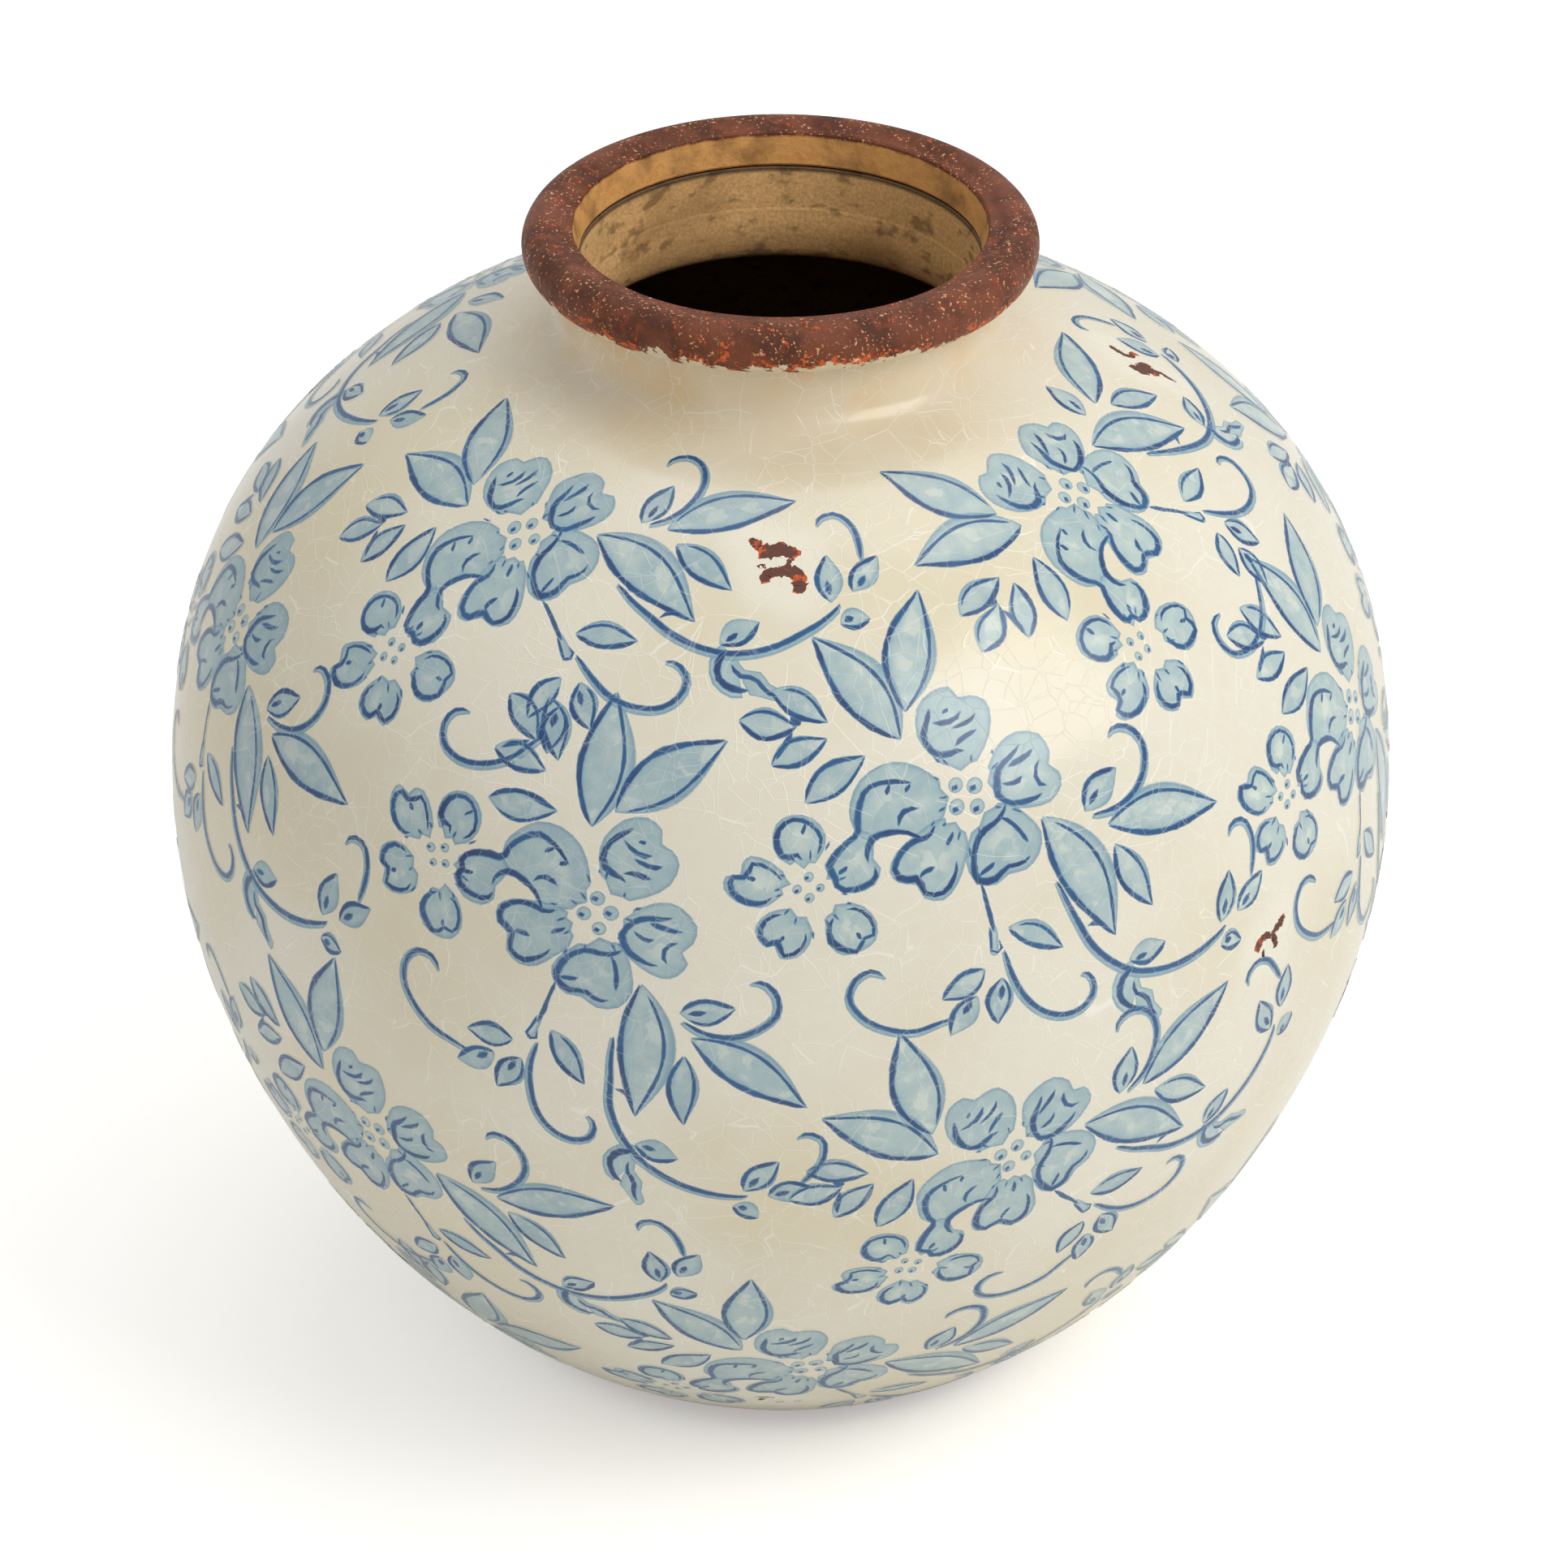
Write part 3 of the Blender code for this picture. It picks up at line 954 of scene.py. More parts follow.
def paintPetal(sheets, petal, eye, depth, draw):
    # the fill with its fringe towards the flower's eye, then the drawn edge, the veins and a few hairs
    shift = np.array([draw.uniform(-0.25, 0.25), draw.uniform(-0.25, 0.25)])
    fill = loopThrough(jittered(petal["fill"], draw, 0.2), 2 * len(petal["fill"])) + shift
    centre = fill.mean(axis=0)
    toEye = np.array(eye) - fill
    far = np.hypot(toEye[:, 0], toEye[:, 1])
    toEye /= far[:, None]
    fringed = [i for i in range(len(fill)) if far[i] < far.min() + petalLook["fringeReach"] * petal["size"]]
    for i in fringed:
        reach = petalLook["fringe"] if i % 2 else -petalLook["inward"]
        fill[i] += toEye[i] * reach * draw.uniform(0.6, 1.2)
    sheets["wash"].patch(fill, depth + draw.uniform(0.0, 0.35))
    for points, thin, thick in petal["edges"]:
        points = [tuple(np.array(point) + shift) for point in jittered(points, draw, 0.15)]
        count = segmentsFor(points)
        path = throughPoints(points, count)
        outward = path - centre
        facing = np.arctan2(outward[:, 1], outward[:, 0])
        heavy = (0.5 + 0.5 * np.cos(facing - brush["heavySide"])) ** 1.3
        taper = np.clip(np.minimum(np.arange(count + 1), count - np.arange(count + 1)) / 2.5, 0, 1)
        widths = wavered(0.8 * (thin + (thick - thin) * heavy) * (0.3 + 0.7 * taper), draw, 0.2, 0.9)
        sheets["line"].stroke(path, widths + brush["feather"], draw.uniform(0.5, 1.0))
    for points, width in petal["veins"]:
        points = [tuple(np.array(point) + shift) for point in points]
        paintLine(sheets, points, width * draw.uniform(0.8, 1.2), draw, 0.6, 0.5, 0.35)
    for i in fringed[:: petalLook["hairEvery"]]:
        root = fill[i] - toEye[i] * 0.2
        end = root - toEye[i] * draw.uniform(1.2, 2.6)
        end = end + np.array([draw.uniform(-0.5, 0.5), draw.uniform(-0.5, 0.5)])
        widths = np.array(petalLook["hairWidths"])
        sheets["line"].stroke(throughPoints([root, end], len(widths) - 1), widths, 0.3, rims=(0, 0.6, 0))


def paintLeaf(sheets, leaf, draw):
    # a pointed leaf between two drawn edges, the one facing the heavy side fuller
    base, tip = np.array(leaf["base"], float), np.array(leaf["tip"], float)
    along = tip - base
    length = np.hypot(*along)
    along /= length
    side = np.array([-along[1], along[0]])
    count = max(8, round(length / leafLook["step"]))
    s = np.linspace(0, 1, count + 1)
    swell = np.sin(math.pi * s**0.88) ** 1.1
    spine = base + s[:, None] * along * length + (leaf["bow"] * np.sin(math.pi * s))[:, None] * side
    edges, margins = [], []
    slip = np.array(brush["slip"])
    for sign, fill in zip((1, -1), leaf["fill"]):
        edges.append(spine + (sign * leaf["width"] / 2 * swell * fill)[:, None] * side)
        spill = max(0.0, float(np.dot(side * sign, slip / np.hypot(*slip)))) * leaf["spill"]
        margins.append(edges[-1] + side * sign * ((swell + 0.12) * (0.55 + spill))[:, None])
    widths = np.hypot(*(margins[0] - margins[1]).T)
    middle = (margins[0] + margins[1]) / 2
    sheets["wash"].stroke(middle, widths, leaf["tone"], leafLook["lanes"], leafLook["rims"])
    heavySide = np.array([math.cos(brush["heavySide"]), math.sin(brush["heavySide"])])
    for edge, sign in zip(edges, (1, -1)):
        heavy = float(np.dot(side * sign, heavySide)) > 0
        if heavy or draw.random() < leaf["bothEdges"]:
            width = leaf["thick"] if heavy else leaf["thin"]
            start = 0 if heavy else draw.choice((0, 1))
            path = edge[start:]
            widths = strokeWidths(len(path) - 1, width, 0.35, 0.3) + leafLook["feather"]
            sheets["line"].stroke(path, wavered(widths, draw, 0.15, 1.3), 0.75 if heavy else 0.35)
    if leaf["rib"]:
        path = spine[1 : max(4, int(count * 0.72))]
        widths = strokeWidths(len(path) - 1, leaf["rib"], 0.45, 0.5, 0.15) + leafLook["feather"]
        sheets["line"].stroke(path + side * draw.uniform(-0.4, 0.4), widths, 0.9)


def paintDot(sheets, centre, size, draw):
    # a slightly tall spot of wash with a dark touch at its foot
    turns = [k * math.pi / 6 for k in range(12)]
    rounded = [(centre[0] + size * math.cos(turn), centre[1] + size * 1.1 * math.sin(turn)) for turn in turns]
    sheets["wash"].patch(rounded, 0.35, 0.4, 0.5)
    x, y = centre[0] + draw.uniform(-0.2, 0.2), centre[1] - size * 0.35
    path = np.array([(x - size * 0.5, y), (x, y), (x + size * 0.5, y)])
    sheets["line"].stroke(path, np.array([0.5, 1.5, 0.5]) * size, 0.6)


leafLook = {
    "step": 1.7,
    "feather": 0.45,
    "lanes": (-1, -0.74, -0.3, 0.3, 0.74, 1),  # across the fill, and how far in from the rim each lane counts
    "rims": (0, 0.34, 0.9, 0.9, 0.34, 0),
    "big": {"spill": 1.7, "thick": 1.15, "thin": 0.55, "bothEdges": 1.0, "rib": 0.0},
    "small": {"spill": 0.5, "thick": 0.9, "thin": 0.45, "fill": (1, 1)},
}

petalLook = {
    "fringe": 0.7,  # how far the fill's ragged side reaches to and fro, in millimetres
    "inward": 0.28,
    "fringeReach": 0.5,
    "hairEvery": 2,
    "hairWidths": (0.75, 0.85, 0.7, 0.5),
}

bigFlower = {
    "eye": [(-2.8, 0.6), (0.1, 2.6), (2.6, -0.1), (-0.4, -2.4)],
    "eyeSize": 1.35,
    "centre": (0.0, 0.2),
    "petals": [
        {
            "size": 7.2,
            "fill": [
                (-5.5, 2.6), (-2.4, 5.2), (-1.9, 9.8), (-3.6, 14.2), (-6.8, 16.6), (-9.6, 15.7),
                (-11.2, 14.2), (-13.4, 14.6), (-15.9, 12.0), (-16.1, 7.8), (-13.6, 3.6), (-9.6, 2.0),
            ],
            "edges": [
                ([
                    (-14.0, 9.4), (-13.4, 6.6), (-12.2, 4.2), (-9.5, 2.9), (-7.6, 3.6), (-6.4, 5.4),
                    (-4.6, 6.6),
                ], 0.6, 1.7),
            ],
            "veins": [
                ([(-12.8, 7.2), (-10.2, 9.0), (-9.0, 12.6)], 0.9),
                ([(-9.4, 8.4), (-7.6, 10.4), (-6.7, 13.8)], 0.7),
                ([(-7.0, 6.0), (-6.0, 9.0), (-4.8, 11.2)], 0.8),
                ([(-12.0, 9.6), (-11.4, 11.2)], 0.5),
            ],
        },
        {
            "size": 7.2,
            "fill": [
                (-0.4, 8.6), (0.4, 6.2), (3.0, 3.8), (7.2, 3.4), (10.6, 5.4), (13.2, 9.0), (13.5, 12.4),
                (11.4, 14.6), (9.2, 14.2), (8.0, 16.4), (4.4, 17.6), (0.8, 15.4), (-0.9, 12.0),
            ],
            "edges": [
                ([
                    (2.8, 13.8), (2.2, 10.5), (1.8, 8.0), (3.0, 5.3), (4.2, 3.8), (7.0, 4.1),
                    (9.6, 6.4), (11.2, 9.2),
                ], 0.6, 1.6),
            ],
            "veins": [
                ([(2.6, 9.0), (4.6, 12.4), (5.4, 15.0)], 0.9),
                ([(7.3, 14.0), (7.7, 11.4), (9.4, 10.3), (11.2, 10.8)], 0.8),
                ([(3.6, 6.0), (5.6, 7.4), (6.2, 9.6)], 0.6),
            ],
        },
        {
            "size": 7.2,
            "fill": [
                (5.0, 1.8), (4.6, -2.4), (5.6, -7.2), (8.4, -10.4), (11.6, -10.8), (14.2, -9.0),
                (15.0, -6.0), (17.2, -3.6), (17.6, 0.4), (15.2, 3.8), (11.0, 4.7), (7.2, 4.2),
            ],
            "edges": [
                ([
                    (6.8, 4.2), (7.2, 0.5), (6.2, -3.5), (7.5, -7.5), (11.0, -10.0), (13.2, -8.2),
                    (13.7, -5.2), (15.7, -3.0), (16.2, -0.6),
                ], 0.7, 1.7),
            ],
            "veins": [
                ([(7.2, 1.2), (11.0, 1.5), (14.4, 0.4)], 0.7),
                ([(10.4, -9.6), (11.0, -7.2), (11.4, -5.6)], 0.6),
            ],
        },
        {
            "size": 7.0,
            "fill": [
                (-2.0, -6.4), (-3.4, -10.2), (-4.5, -15.4), (-3.4, -19.0), (-0.6, -19.7), (2.0, -18.0),
                (5.0, -19.0), (7.9, -17.0), (8.5, -13.2), (7.2, -9.4), (5.4, -6.0), (2.6, -5.0),
                (0.2, -5.4),
            ],
            "edges": [
                ([
                    (-1.4, -7.0), (-1.4, -10.0), (-3.0, -12.2), (-3.4, -15.5), (-2.6, -18.2),
                    (-0.8, -18.8), (1.8, -16.9), (4.6, -18.0), (6.9, -16.0), (6.9, -13.0), (5.4, -9.8),
                ], 0.7, 1.6),
            ],
            "veins": [
                ([(2.0, -6.2), (2.4, -9.4)], 0.7),
                ([(1.8, -16.8), (2.2, -14.6), (3.2, -13.4)], 0.8),
            ],
        },
        {
            "size": 8.0,
            "fill": [
                (-1.6, -3.0), (-1.2, -8.0), (-2.0, -10.8), (-5.4, -11.6), (-7.6, -13.4), (-9.0, -16.0),
                (-11.6, -16.6), (-14.6, -15.4), (-16.4, -12.6), (-17.4, -8.6), (-16.0, -4.2),
                (-12.4, -0.9), (-7.6, 0.0), (-4.2, -1.0),
            ],
            "edges": [
                ([
                    (-9.0, -3.6), (-13.0, -5.8), (-15.3, -9.0), (-14.6, -12.5), (-13.0, -15.0),
                    (-11.9, -16.2), (-12.6, -19.0), (-12.9, -22.5), (-12.2, -24.8), (-10.8, -24.4),
                    (-9.8, -25.8), (-8.0, -26.0), (-5.5, -23.5), (-4.8, -21.0), (-5.8, -19.0),
                ], 0.7, 1.6),
                ([
                    (-1.5, -10.3), (-5.0, -11.0), (-7.0, -12.4), (-9.2, -16.0), (-8.6, -18.0),
                    (-7.0, -19.7),
                ], 0.8, 1.5),
            ],
            "veins": [
                ([(-7.0, -11.4), (-7.5, -8.4), (-5.4, -6.4)], 0.8),
                ([(-9.4, -3.8), (-9.6, -5.6)], 0.6),
                ([(-12.6, -5.8), (-12.0, -8.0)], 0.6),
            ],
        },
    ],
}
smallFlower = {
    "eye": [(-11.5, -28.2), (-11.9, -30.8), (-14.6, -30.9), (-14.3, -27.9)],
    "eyeSize": 0.9,
    "centre": (-13.0, -29.4),
    "petals": [
        {
            "size": 4.6,
            "fill": [
                (-9.2, -15.6), (-7.0, -18.4), (-4.6, -19.2), (-3.8, -22.0), (-5.4, -25.4),
                (-8.4, -26.8), (-10.2, -25.8), (-12.2, -25.8), (-13.5, -22.8), (-13.0, -19.0),
                (-11.6, -15.8),
            ],
            "edges": [],
            "veins": [([(-10.4, -24.6), (-9.6, -22.4)], 0.6)],
        },
        {
            "size": 4.9,
            "fill": [
                (-15.6, -26.4), (-14.8, -23.4), (-16.6, -20.2), (-20.0, -19.3), (-23.4, -20.8),
                (-24.7, -24.0), (-23.4, -27.2), (-20.2, -28.7), (-17.6, -27.8),
            ],
            "edges": [
                ([
                    (-15.8, -24.2), (-16.8, -21.4), (-20.0, -20.4), (-22.8, -21.8), (-23.7, -24.4),
                    (-22.4, -26.9), (-19.8, -27.8), (-18.3, -26.0), (-16.8, -26.6),
                ], 0.6, 1.5),
            ],
            "veins": [([(-20.6, -20.8), (-20.0, -23.0)], 0.4)],
        },
        {
            "size": 4.9,
            "fill": [
                (-16.4, -32.4), (-17.4, -30.4), (-21.0, -29.8), (-24.8, -31.2), (-25.4, -33.4),
                (-24.6, -34.9), (-26.4, -36.6), (-25.2, -38.8), (-21.6, -39.4), (-17.8, -37.9),
                (-16.2, -35.2),
            ],
            "edges": [
                ([
                    (-17.4, -31.6), (-20.8, -30.9), (-23.8, -32.2), (-23.2, -34.6), (-25.3, -36.6),
                    (-23.8, -38.3), (-20.6, -38.4), (-17.8, -36.6), (-17.2, -34.6),
                ], 0.5, 1.5),
            ],
            "veins": [([(-23.0, -34.6), (-21.4, -34.2)], 0.6)],
        },
        {
            "size": 4.6,
            "fill": [
                (-11.4, -34.6), (-8.0, -34.9), (-6.2, -37.4), (-6.6, -41.0), (-8.8, -43.0),
                (-11.0, -42.0), (-12.9, -43.1), (-15.8, -41.8), (-16.6, -38.8), (-14.8, -35.6),
            ],
            "edges": [
                ([
                    (-13.6, -36.2), (-15.5, -38.6), (-14.8, -41.2), (-12.6, -42.1), (-11.0, -40.6),
                    (-9.0, -42.0), (-7.4, -40.4), (-7.2, -37.8), (-8.4, -36.0),
                ], 0.6, 1.4),
            ],
            "veins": [([(-11.0, -40.6), (-10.8, -39.0)], 0.6)],
        },
        {
            "size": 4.7,
            "fill": [
                (-7.4, -30.4), (-6.6, -27.6), (-3.4, -26.2), (0.4, -27.0), (2.4, -29.8), (1.8, -33.0),
                (-0.6, -35.4), (-3.6, -35.8), (-6.4, -33.8),
            ],
            "edges": [
                ([
                    (-5.8, -28.6), (-4.2, -27.6), (-1.0, -27.4), (1.2, -29.2), (0.2, -31.2),
                    (1.0, -33.0), (-1.2, -34.6), (-4.0, -34.8), (-6.2, -32.6), (-6.4, -30.6),
                ], 0.5, 1.6),
            ],
            "veins": [([(0.0, -31.2), (-1.6, -30.6)], 0.5)],
        },
    ],
}
bigLeaves = [
    # (base, tip, width, bow, share of the width on each side)
    ((-17.6, 5.8), (-27.6, 27.6), 8.6, 0.4, (1.0, 0.9)),
    ((-15.4, 1.2), (-39.0, 8.0), 8.2, -0.4, (1.0, 0.95)),
    ((13.6, 5.6), (40.2, -2.4), 8.8, 0.6, (1.0, 0.85)),
    ((25.2, 12.2), (43.4, 30.0), 8.2, 0.5, (0.9, 0.9)),
]
smallLeaves = [
    # (base, tip, width, strength of its rib)
    ((-39.4, -4.8), (-27.6, -3.9), 4.6, 0.0),
    ((-41.0, -12.6), (-31.6, -7.6), 4.6, 0.0),
    ((-31.6, -16.0), (-26.0, -6.2), 4.2, 0.0),
    ((-22.8, -18.0), (-18.8, -4.6), 5.4, 0.0),
    ((28.6, 10.4), (43.2, 6.4), 5.0, 0.0),
    ((20.0, 11.2), (20.8, 21.6), 4.8, 1.1),
    ((20.8, -13.6), (32.6, -10.2), 4.0, 0.0),
    ((22.6, -22.0), (19.6, -31.2), 4.2, 0.0),
    ((26.4, -21.2), (32.0, -28.6), 4.4, 1.3),
    ((25.0, -26.6), (26.0, -35.6), 4.4, 1.6),
    ((46.2, -4.0), (50.8, 3.4), 4.0, 1.2),
    ((60.2, 13.4), (54.4, 22.2), 4.4, 1.3),
    ((62.3, 17.6), (62.6, 27.4), 4.4, 1.4),
    ((63.6, 10.6), (68.0, 14.4), 3.2, 1.6),
]
tendrils = [
    # (points, width)
    ([
        (21.4, 11.6), (24.6, 15.0), (26.2, 20.0), (25.4, 25.4), (22.6, 28.8), (19.4, 29.4),
        (16.6, 27.6), (16.0, 25.2),
    ], 1.1),
    ([
        (23.0, -1.6), (27.0, -3.4), (32.0, -4.8), (37.0, -6.2), (43.0, -6.3), (49.0, -4.6),
        (54.4, -0.6), (58.6, 5.0), (61.0, 10.4), (61.8, 14.4),
    ], 1.3),
    ([
        (23.0, -16.8), (27.6, -19.6), (33.0, -21.4), (38.4, -21.2), (42.4, -19.2), (44.4, -15.8),
        (43.8, -12.4), (41.2, -10.8), (38.8, -11.4),
    ], 1.1),
    ([
        (24.6, -32.0), (22.4, -35.0), (20.0, -38.4), (15.6, -41.4), (9.8, -42.6), (5.6, -40.8),
        (4.2, -37.4), (5.4, -34.8), (8.6, -34.2),
    ], 1.0),
    ([(60.4, 24.6), (58.0, 28.2), (54.2, 31.0), (51.0, 31.4), (49.2, 29.4), (49.4, 26.8)], 0.9),
]
flourishes = [
    # (points, width, depth of tone, heads, tails): the droplet stem, the scroll on the garland and the knots
    ([(11.4, -10.2), (14.4, -12.4), (17.4, -14.6), (19.4, -16.2)], 0.7, 0.2, 0.3, 0.3),
    ([(17.8, -15.4), (19.6, -17.2), (21.6, -18.9), (22.4, -18.0), (20.6, -16.0)], 0.35, 0.1, 0.3, 0.3),
    ([(48.2, -4.2), (47.7, -7.4), (49.4, -10.0), (52.8, -10.4), (55.4, -9.4)], 1.5, 0.9, 0.3, 0.4),
    ([(50.0, -6.0), (52.2, -7.6), (55.2, -6.9), (57.6, -7.8), (60.4, -8.2)], 0.9, 0.9, 0.4, 0.5),
    ([(33.6, -4.6), (35.4, -2.6), (38.6, -2.4)], 0.7, 0.4, 0.2, 0.4),
    ([(-33.8, -6.4), (-31.4, -7.2)], 1.7, 1.0, 0.4, 0.4),
    ([(-31.8, -8.6), (-31.6, -12.0), (-31.4, -15.0)], 0.9, 0.6, 0.3, 0.5),
]
blots = [
    # fills that belong to no leaf or petal: the scroll under the garland and the drop on the stem
    [
        (46.9, -4.0), (46.5, -7.6), (48.8, -11.0), (52.8, -11.6), (55.6, -10.2), (58.0, -9.4),
        (61.4, -8.6), (60.6, -6.6), (57.8, -6.4), (55.4, -5.2), (52.6, -6.0), (50.4, -5.0),
    ],
    [(17.6, -14.6), (19.0, -17.0), (21.2, -19.2), (22.6, -18.6), (21.4, -16.8), (19.2, -15.0)],
]


def paintSprig(draw, depth):
    # the whole spray, flat, round the big flower's eye; depth is the painted shade that darkens its paint,
    # more on the vase's left
    lifts = {"wash": brush["fillLift"], "line": brush["lineLift"]}
    sheets = {layer: Sheet(lift, brush["sink"]) for layer, lift in lifts.items()}
    for flower in (bigFlower, smallFlower):
        for petal in flower["petals"]:
            paintPetal(sheets, petal, flower["centre"], depth, draw)
        for place in flower["eye"]:
            paintDot(sheets, place, flower["eyeSize"] * draw.uniform(0.88, 1.12), draw)
    for base, tip, width, bow, fill in bigLeaves:
        leaf = {"base": base, "tip": tip, "width": width, "bow": bow + draw.uniform(-0.3, 0.3), "fill": fill}
        leaf["tone"] = depth + draw.uniform(0, 0.3)
        paintLeaf(sheets, leafLook["big"] | leaf, draw)
    for base, tip, width, rib in smallLeaves:
        leaf = {"base": base, "tip": tip, "rib": rib, "bothEdges": 0.6 if rib else 1.0}
        leaf["width"] = width * draw.uniform(0.92, 1.08)
        leaf["bow"] = draw.uniform(-0.5, 0.5)
        leaf["tone"] = depth + draw.uniform(0.1, 0.5)
        paintLeaf(sheets, leafLook["small"] | leaf, draw)
    for blot in blots:
        sheets["wash"].patch(loopThrough(jittered(blot, draw, 0.15), 2 * len(blot)), depth + 0.2, 0.5, 0.5)
    for points, width in tendrils:
        paintTendril(sheets, points, width, draw)
    for points, width, deep, heads, tails in flourishes:
        paintLine(sheets, points, width, draw, deep, heads, tails)
    return sheets


# every spray: the azimuth and latitude of its big flower, and its turn
sprayPlaces = [
    (-38.4, 49.8, 0.0), (49.0, 51.8, 5.0), (139.0, 50.0, -4.0), (-128.0, 51.0, 2.0),
    (18.2, 29.0, -45.3), (-71.2, 27.6, -42.3), (-162.0, 28.5, -44.0), (107.5, 28.0, -46.0),
    (-16.6, 19.2, -75.0), (70.8, 19.2, -66.0), (161.0, 19.0, -72.0), (-107.0, 19.5, -70.0),
    (21.2, -6.0, -9.7), (-40.7, -11.0, -36.5), (91.0, -14.0, -14.0), (136.5, -11.0, -18.0),
    (-158.0, -9.0, -30.0), (-95.0, -13.0, -16.0), (3.3, -37.4, -26.9), (-46.0, -50.0, -108.0),
    (70.0, -40.0, -24.0), (132.0, -42.0, -30.0), (-157.0, -40.0, -24.0), (-96.0, -39.0, -34.0),
]
sprayBand = (-57.0, 63.0)  # latitudes that paint stays between


def wrapped(shape, azimuth, latitude, turn, band):
    # bends the flat sheet over the vase and drops what would reach the foot or the neck
    shape.verts.ensure_lookup_table()
    flat = np.array([vert.co[:] for vert in shape.verts])
    directions = bentOver(flat[:, :2], azimuth, latitude, turn)
    heights = np.degrees(np.arcsin(directions[:, 2]))
    places = onSkin(directions, flat[:, 2] * mm)
    outside = (heights < band[0]) | (heights > band[1])
    for vert, place in zip(shape.verts, places):
        vert.co = place
    unwanted = set()
    for index in np.nonzero(outside)[0]:
        vert = shape.verts[index]
        if vert in unwanted:
            continue
        reached, island = [vert], {vert}
        while reached:
            for edge in reached.pop().link_edges:
                for end in edge.verts:
                    if end not in island:
                        island.add(end)
                        reached.append(end)
        unwanted |= island
    bmesh.ops.delete(shape, geom=list(unwanted), context="VERTS")


def layOn(gathered, sheet, place, band=sprayBand):
    # lays a flat sheet over the vase and adds it to what is gathered
    wrapped(sheet.shape, *place, band)
    turnOutward(sheet.shape)
    part = bpy.data.meshes.new("part")
    sheet.shape.to_mesh(part)
    sheet.shape.free()
    gathered.from_mesh(part)
    bpy.data.meshes.remove(part)


def paintVase():
    gathered = {"wash": bmesh.new(), "line": bmesh.new()}
    for number, place in enumerate(sprayPlaces):
        # painted shade: sprays on the vase's left, away from the light, get darker paint
        depth = brush["leftShade"] * (1 - math.sin(math.radians(place[0]))) / 2
        sheets = paintSprig(random.Random(brush["firstDraw"] + number), depth)
        for layer, sheet in sheets.items():
            layOn(gathered[layer], sheet, place)
    for layer, name, material in (("wash", "paintedFills", blueWash), ("line", "paintedLines", blueLine)):
        mesh = bpy.data.meshes.new(name)
        gathered[layer].to_mesh(mesh)
        gathered[layer].free()
        made = finished(name, mesh, [material])
        made.visible_shadow = False
        made.visible_diffuse = False
        print(name, len(mesh.polygons), "faces")


paintVase()
print("painting done")


# chips knocked out of the glaze

chipLook = {
    "step": 0.4,  # millimetres between the teeth of a broken edge
    "tear": 0.28,  # how uneven the edge is, as a share of the width
    "grow": 1.4,
    "clayDepth": 0.12,  # the clay shows this far below the glaze's face
    "clayBed": 0.85,  # and reaches down this far
    "clayMore": 0.5,  # it is wider than the cut by this much, and so tucked under the glaze
    "cutTop": 0.6,
    "cutDepth": 6.0,
    "halo": (3.0, 7.5),  # the glaze is smooth this far from a chip, and then crackled
    "draw": 7,
}

# every chip: an azimuth, a latitude and a turn, then its strokes as points and widths in millimetres
chips = [
    ((-38.4, 49.8, 0.0), [
        ([(40.2, 17.9), (41.8, 17.6), (43.5, 16.7)], [0.8, 1.7, 1.0]),
        ([(43.5, 15.8), (44.9, 17.3), (46.6, 18.8), (48.7, 19.4), (50.1, 20.0)], [1.5, 2.6, 2.9, 2.3, 0.7]),
        ([(49.2, 18.4), (49.3, 17.4), (49.7, 15.6)], [0.9, 0.7, 0.9]),
        ([(47.7, 11.0), (46.9, 12.8), (48.3, 14.0), (49.9, 15.3), (52.3, 15.4), (53.4, 13.8), (53.5, 11.9)],
         [1.2, 1.8, 1.8, 1.8, 2.4, 2.4, 1.0]),
        ([(45.0, 13.5), (45.8, 13.9)], [0.8, 0.8]),
    ]),
    ((49.0, 51.8, 5.0), [
        ([(49.7, 21.5), (49.5, 19.7), (49.9, 17.8), (51.1, 16.8), (53.0, 17.1), (53.6, 15.9)],
         [0.8, 1.4, 1.4, 1.1, 1.4, 0.6]),
        ([(47.0, 15.2), (48.0, 13.4), (51.0, 12.5), (51.6, 11.1), (53.2, 10.3), (53.6, 8.9), (54.4, 6.8)],
         [1.2, 2.2, 3.2, 2.6, 1.1, 0.9, 0.5]),
    ]),
    ((70.8, 19.2, -66.0), [
        ([(4.5, -44.7), (4.7, -46.3), (4.6, -48.1), (4.7, -49.7)], [1.1, 1.6, 1.2, 1.0]),
        ([(4.7, -49.7), (2.7, -51.6), (2.7, -53.0), (3.5, -54.3)], [0.9, 1.4, 1.6, 1.2]),
        ([(4.7, -49.7), (6.7, -49.4), (8.1, -50.1)], [0.9, 1.3, 1.0]),
        ([(4.9, -53.0), (6.7, -53.6)], [0.8, 0.6]),
    ]),
    ((3.3, -37.4, -26.9), [
        ([(1.4, -24.2), (3.2, -23.0), (4.8, -22.3)], [0.6, 1.0, 0.6]),
        ([(3.7, -26.9), (3.4, -24.3)], [0.6, 1.1]),
        ([(7.1, -26.6), (8.3, -25.0)], [0.6, 0.6]),
        ([(9.9, -23.8), (11.7, -23.0)], [0.6, 0.6]),
    ]),
    ((152.0, 37.0, 20.0), [
        ([(-4.0, 2.0), (-1.6, 2.6), (0.8, 1.4), (3.0, 2.2)], [0.9, 2.2, 1.6, 0.7]),
        ([(0.6, 0.4), (1.4, -1.6), (0.6, -3.4)], [0.9, 1.8, 0.8]),
    ]),
    ((-112.0, -2.0, -40.0), [
        ([(-3.2, 0.0), (-1.0, 0.8), (1.4, 0.2), (4.2, 1.0)], [0.7, 1.5, 1.1, 0.6]),
        ([(4.6, -1.4), (6.0, -1.8)], [0.8, 0.6]),
    ]),
]


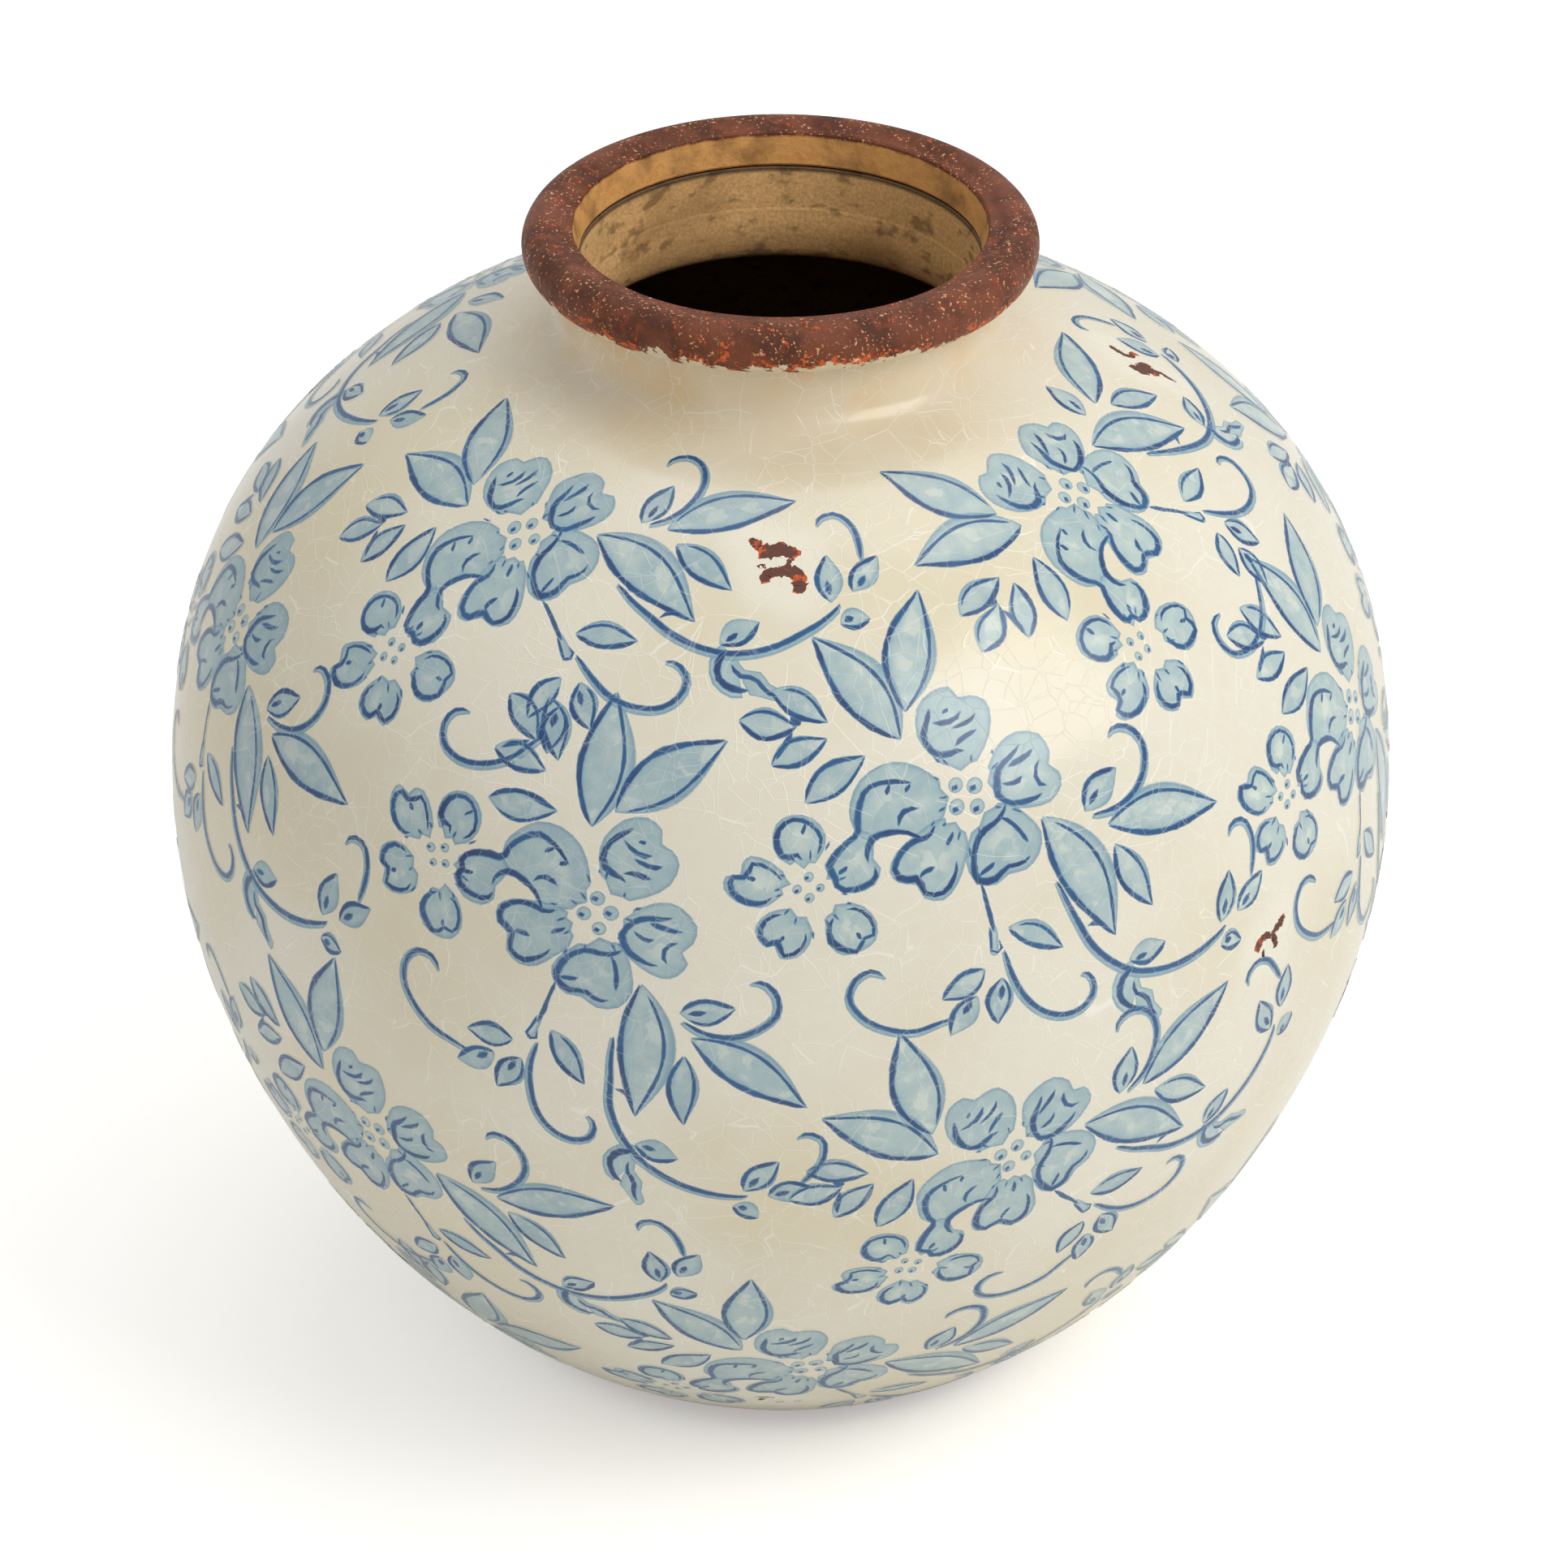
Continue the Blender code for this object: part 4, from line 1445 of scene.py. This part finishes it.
def tornStroke(points, widths, draw):
    # the path of one break, with an uneven width at each place on it
    count = max(3, round(segmentsFor(points) * brush["step"] / chipLook["step"]))
    if len(points) > 2:
        path = throughPoints(points, count)
    else:
        middle = tuple((a + b) / 2 + 0.1 for a, b in zip(*points))
        path = throughPoints([points[0], middle, points[1]], count)
    path = path + np.array([[draw.uniform(-0.12, 0.12) for axis in "xy"] for place in path])
    swell = np.interp(np.linspace(0, len(widths) - 1, count + 1), range(len(widths)), widths)
    torn = np.array([1 + draw.uniform(-1, 1) * chipLook["tear"] for place in path])
    return path, chipLook["grow"] * swell * torn


def chipGlaze():
    # breaks the chips out of the glaze coat and lays rough clay in them
    draw = random.Random(chipLook["draw"])
    cutters, clay, nearby = bmesh.new(), bmesh.new(), []
    for place, strokes in chips:
        cutter = Sheet(chipLook["cutTop"], chipLook["cutDepth"])
        filling = Sheet(-chipLook["clayDepth"], chipLook["clayBed"])
        for points, widths in strokes:
            path, swell = tornStroke(points, widths, draw)
            cutter.stroke(path, swell, 0.0, lanes=(-1, 1), rims=(0, 0))
            widths = swell + chipLook["clayMore"]
            filling.stroke(path, widths, 0.0, lanes=(-1, -0.55, 0.55, 1), rims=(0, 1, 1, 0))
            nearby.append(onSkin(bentOver(path, *place), np.zeros(len(path))))
        for sheet, gathered in ((cutter, cutters), (filling, clay)):
            layOn(gathered, sheet, place, (-90, 90))
    mesh = bpy.data.meshes.new("chipClay")
    clay.to_mesh(mesh)
    finished("chipClay", mesh, [chippedClay])
    cutMesh = bpy.data.meshes.new("chipCutters")
    cutters.to_mesh(cutMesh)
    cutterObject = bpy.data.objects.new("chipCutters", cutMesh)
    bpy.context.scene.collection.objects.link(cutterObject)
    cut = glazeCoat.modifiers.new("chips", "BOOLEAN")
    cut.operation, cut.solver, cut.use_self, cut.object = "DIFFERENCE", "EXACT", True, cutterObject
    carved = bpy.data.meshes.new_from_object(glazeCoat.evaluated_get(bpy.context.evaluated_depsgraph_get()))
    glazeCoat.modifiers.clear()
    bpy.data.meshes.remove(cutMesh)
    glazeCoat.data = carved
    carved.name = "glazeCoat"
    smoothed(carved)
    nearby = np.concatenate(nearby)
    places = verticesOf(carved)
    gap = np.min([np.linalg.norm(places - spot, axis=1) for spot in nearby], axis=0) / mm
    low, high = chipLook["halo"]
    closeness = 1 - np.clip((gap - low) / (high - low), 0, 1)
    carved.attributes.new("nearChip", "FLOAT", "POINT").data.foreach_set("value", closeness)


chipGlaze()
print("chips made,", len(glazeCoat.data.polygons), "faces on the glaze")


# camera, floor and light

studio = {
    "elevation": math.radians(31.5),
    "distance": 1.25,
    "lens": 138.9,
    "sensor": 36.0,
    "aside": 0.7 * mm,
    "aim": (0, 0, 0.13),  # where the lights look
    # each light's place, size, power and colour
    "keyLight": ((0.9, -0.55, 1.15), (0.85, 0.85), 9.7, (1.0, 0.985, 0.95)),
    "topLight": ((0.1, 0.5, 1.5), (1.2, 0.8), 4.6, (1.0, 0.99, 0.97)),
    "worldColour": (1.0, 0.995, 0.985, 1.0),
    "worldStrength": 0.61,
    "floorSize": 4.0,
    "floorColour": (0.94, 0.94, 0.93, 1.0),
    "floorRoughness": 0.8,
    "floorGlow": 0.34,  # only the camera sees it, so it lights nothing
}


def placeCamera():
    back = Vector((0, -math.cos(studio["elevation"]), math.sin(studio["elevation"])))
    data = bpy.data.cameras.new("studioCamera")
    data.lens = studio["lens"]
    data.sensor_width = studio["sensor"]
    camera = bpy.data.objects.new("studioCamera", data)
    camera.location = Vector((studio["aside"], 0, bellyHeight)) + back * studio["distance"]
    camera.rotation_euler = back.to_track_quat("Z", "Y").to_euler()
    bpy.context.scene.collection.objects.link(camera)
    bpy.context.scene.camera = camera


def softbox(name):
    place, size, power, colour = studio[name]
    data = bpy.data.lights.new(name, "AREA")
    data.shape = "RECTANGLE"
    data.size, data.size_y = size
    data.energy = power
    data.color = colour
    lamp = bpy.data.objects.new(name, data)
    lamp.location = place
    lamp.rotation_euler = (Vector(place) - Vector(studio["aim"])).to_track_quat("Z", "Y").to_euler()
    bpy.context.scene.collection.objects.link(lamp)


def makeFloor():
    shape = bmesh.new()
    bmesh.ops.create_grid(shape, x_segments=1, y_segments=1, size=studio["floorSize"])
    mesh = bpy.data.meshes.new("studioFloor")
    shape.to_mesh(mesh)
    shape.free()
    finish = Finish("paleFloor", studio["floorColour"], studio["floorRoughness"])
    finish.join((1.0, 1.0, 1.0, 1.0), finish.shader["Emission Color"])
    glow = finish.times(finish.add("LightPath")["Is Camera Ray"], studio["floorGlow"])
    finish.join(glow, finish.shader["Emission Strength"])
    mesh.materials.append(finish.done())
    floor = bpy.data.objects.new("studioFloor", mesh)
    bpy.context.scene.collection.objects.link(floor)


def makeStudio():
    scene = bpy.context.scene
    scene.view_settings.view_transform = "Standard"
    world = bpy.data.worlds.new("studioWorld")
    world.use_nodes = True
    sky = world.node_tree.nodes["Background"].inputs
    sky["Color"].default_value = studio["worldColour"]
    sky["Strength"].default_value = studio["worldStrength"]
    scene.world = world
    softbox("keyLight")
    softbox("topLight")
    makeFloor()


placeCamera()
makeStudio()
print("studio set")
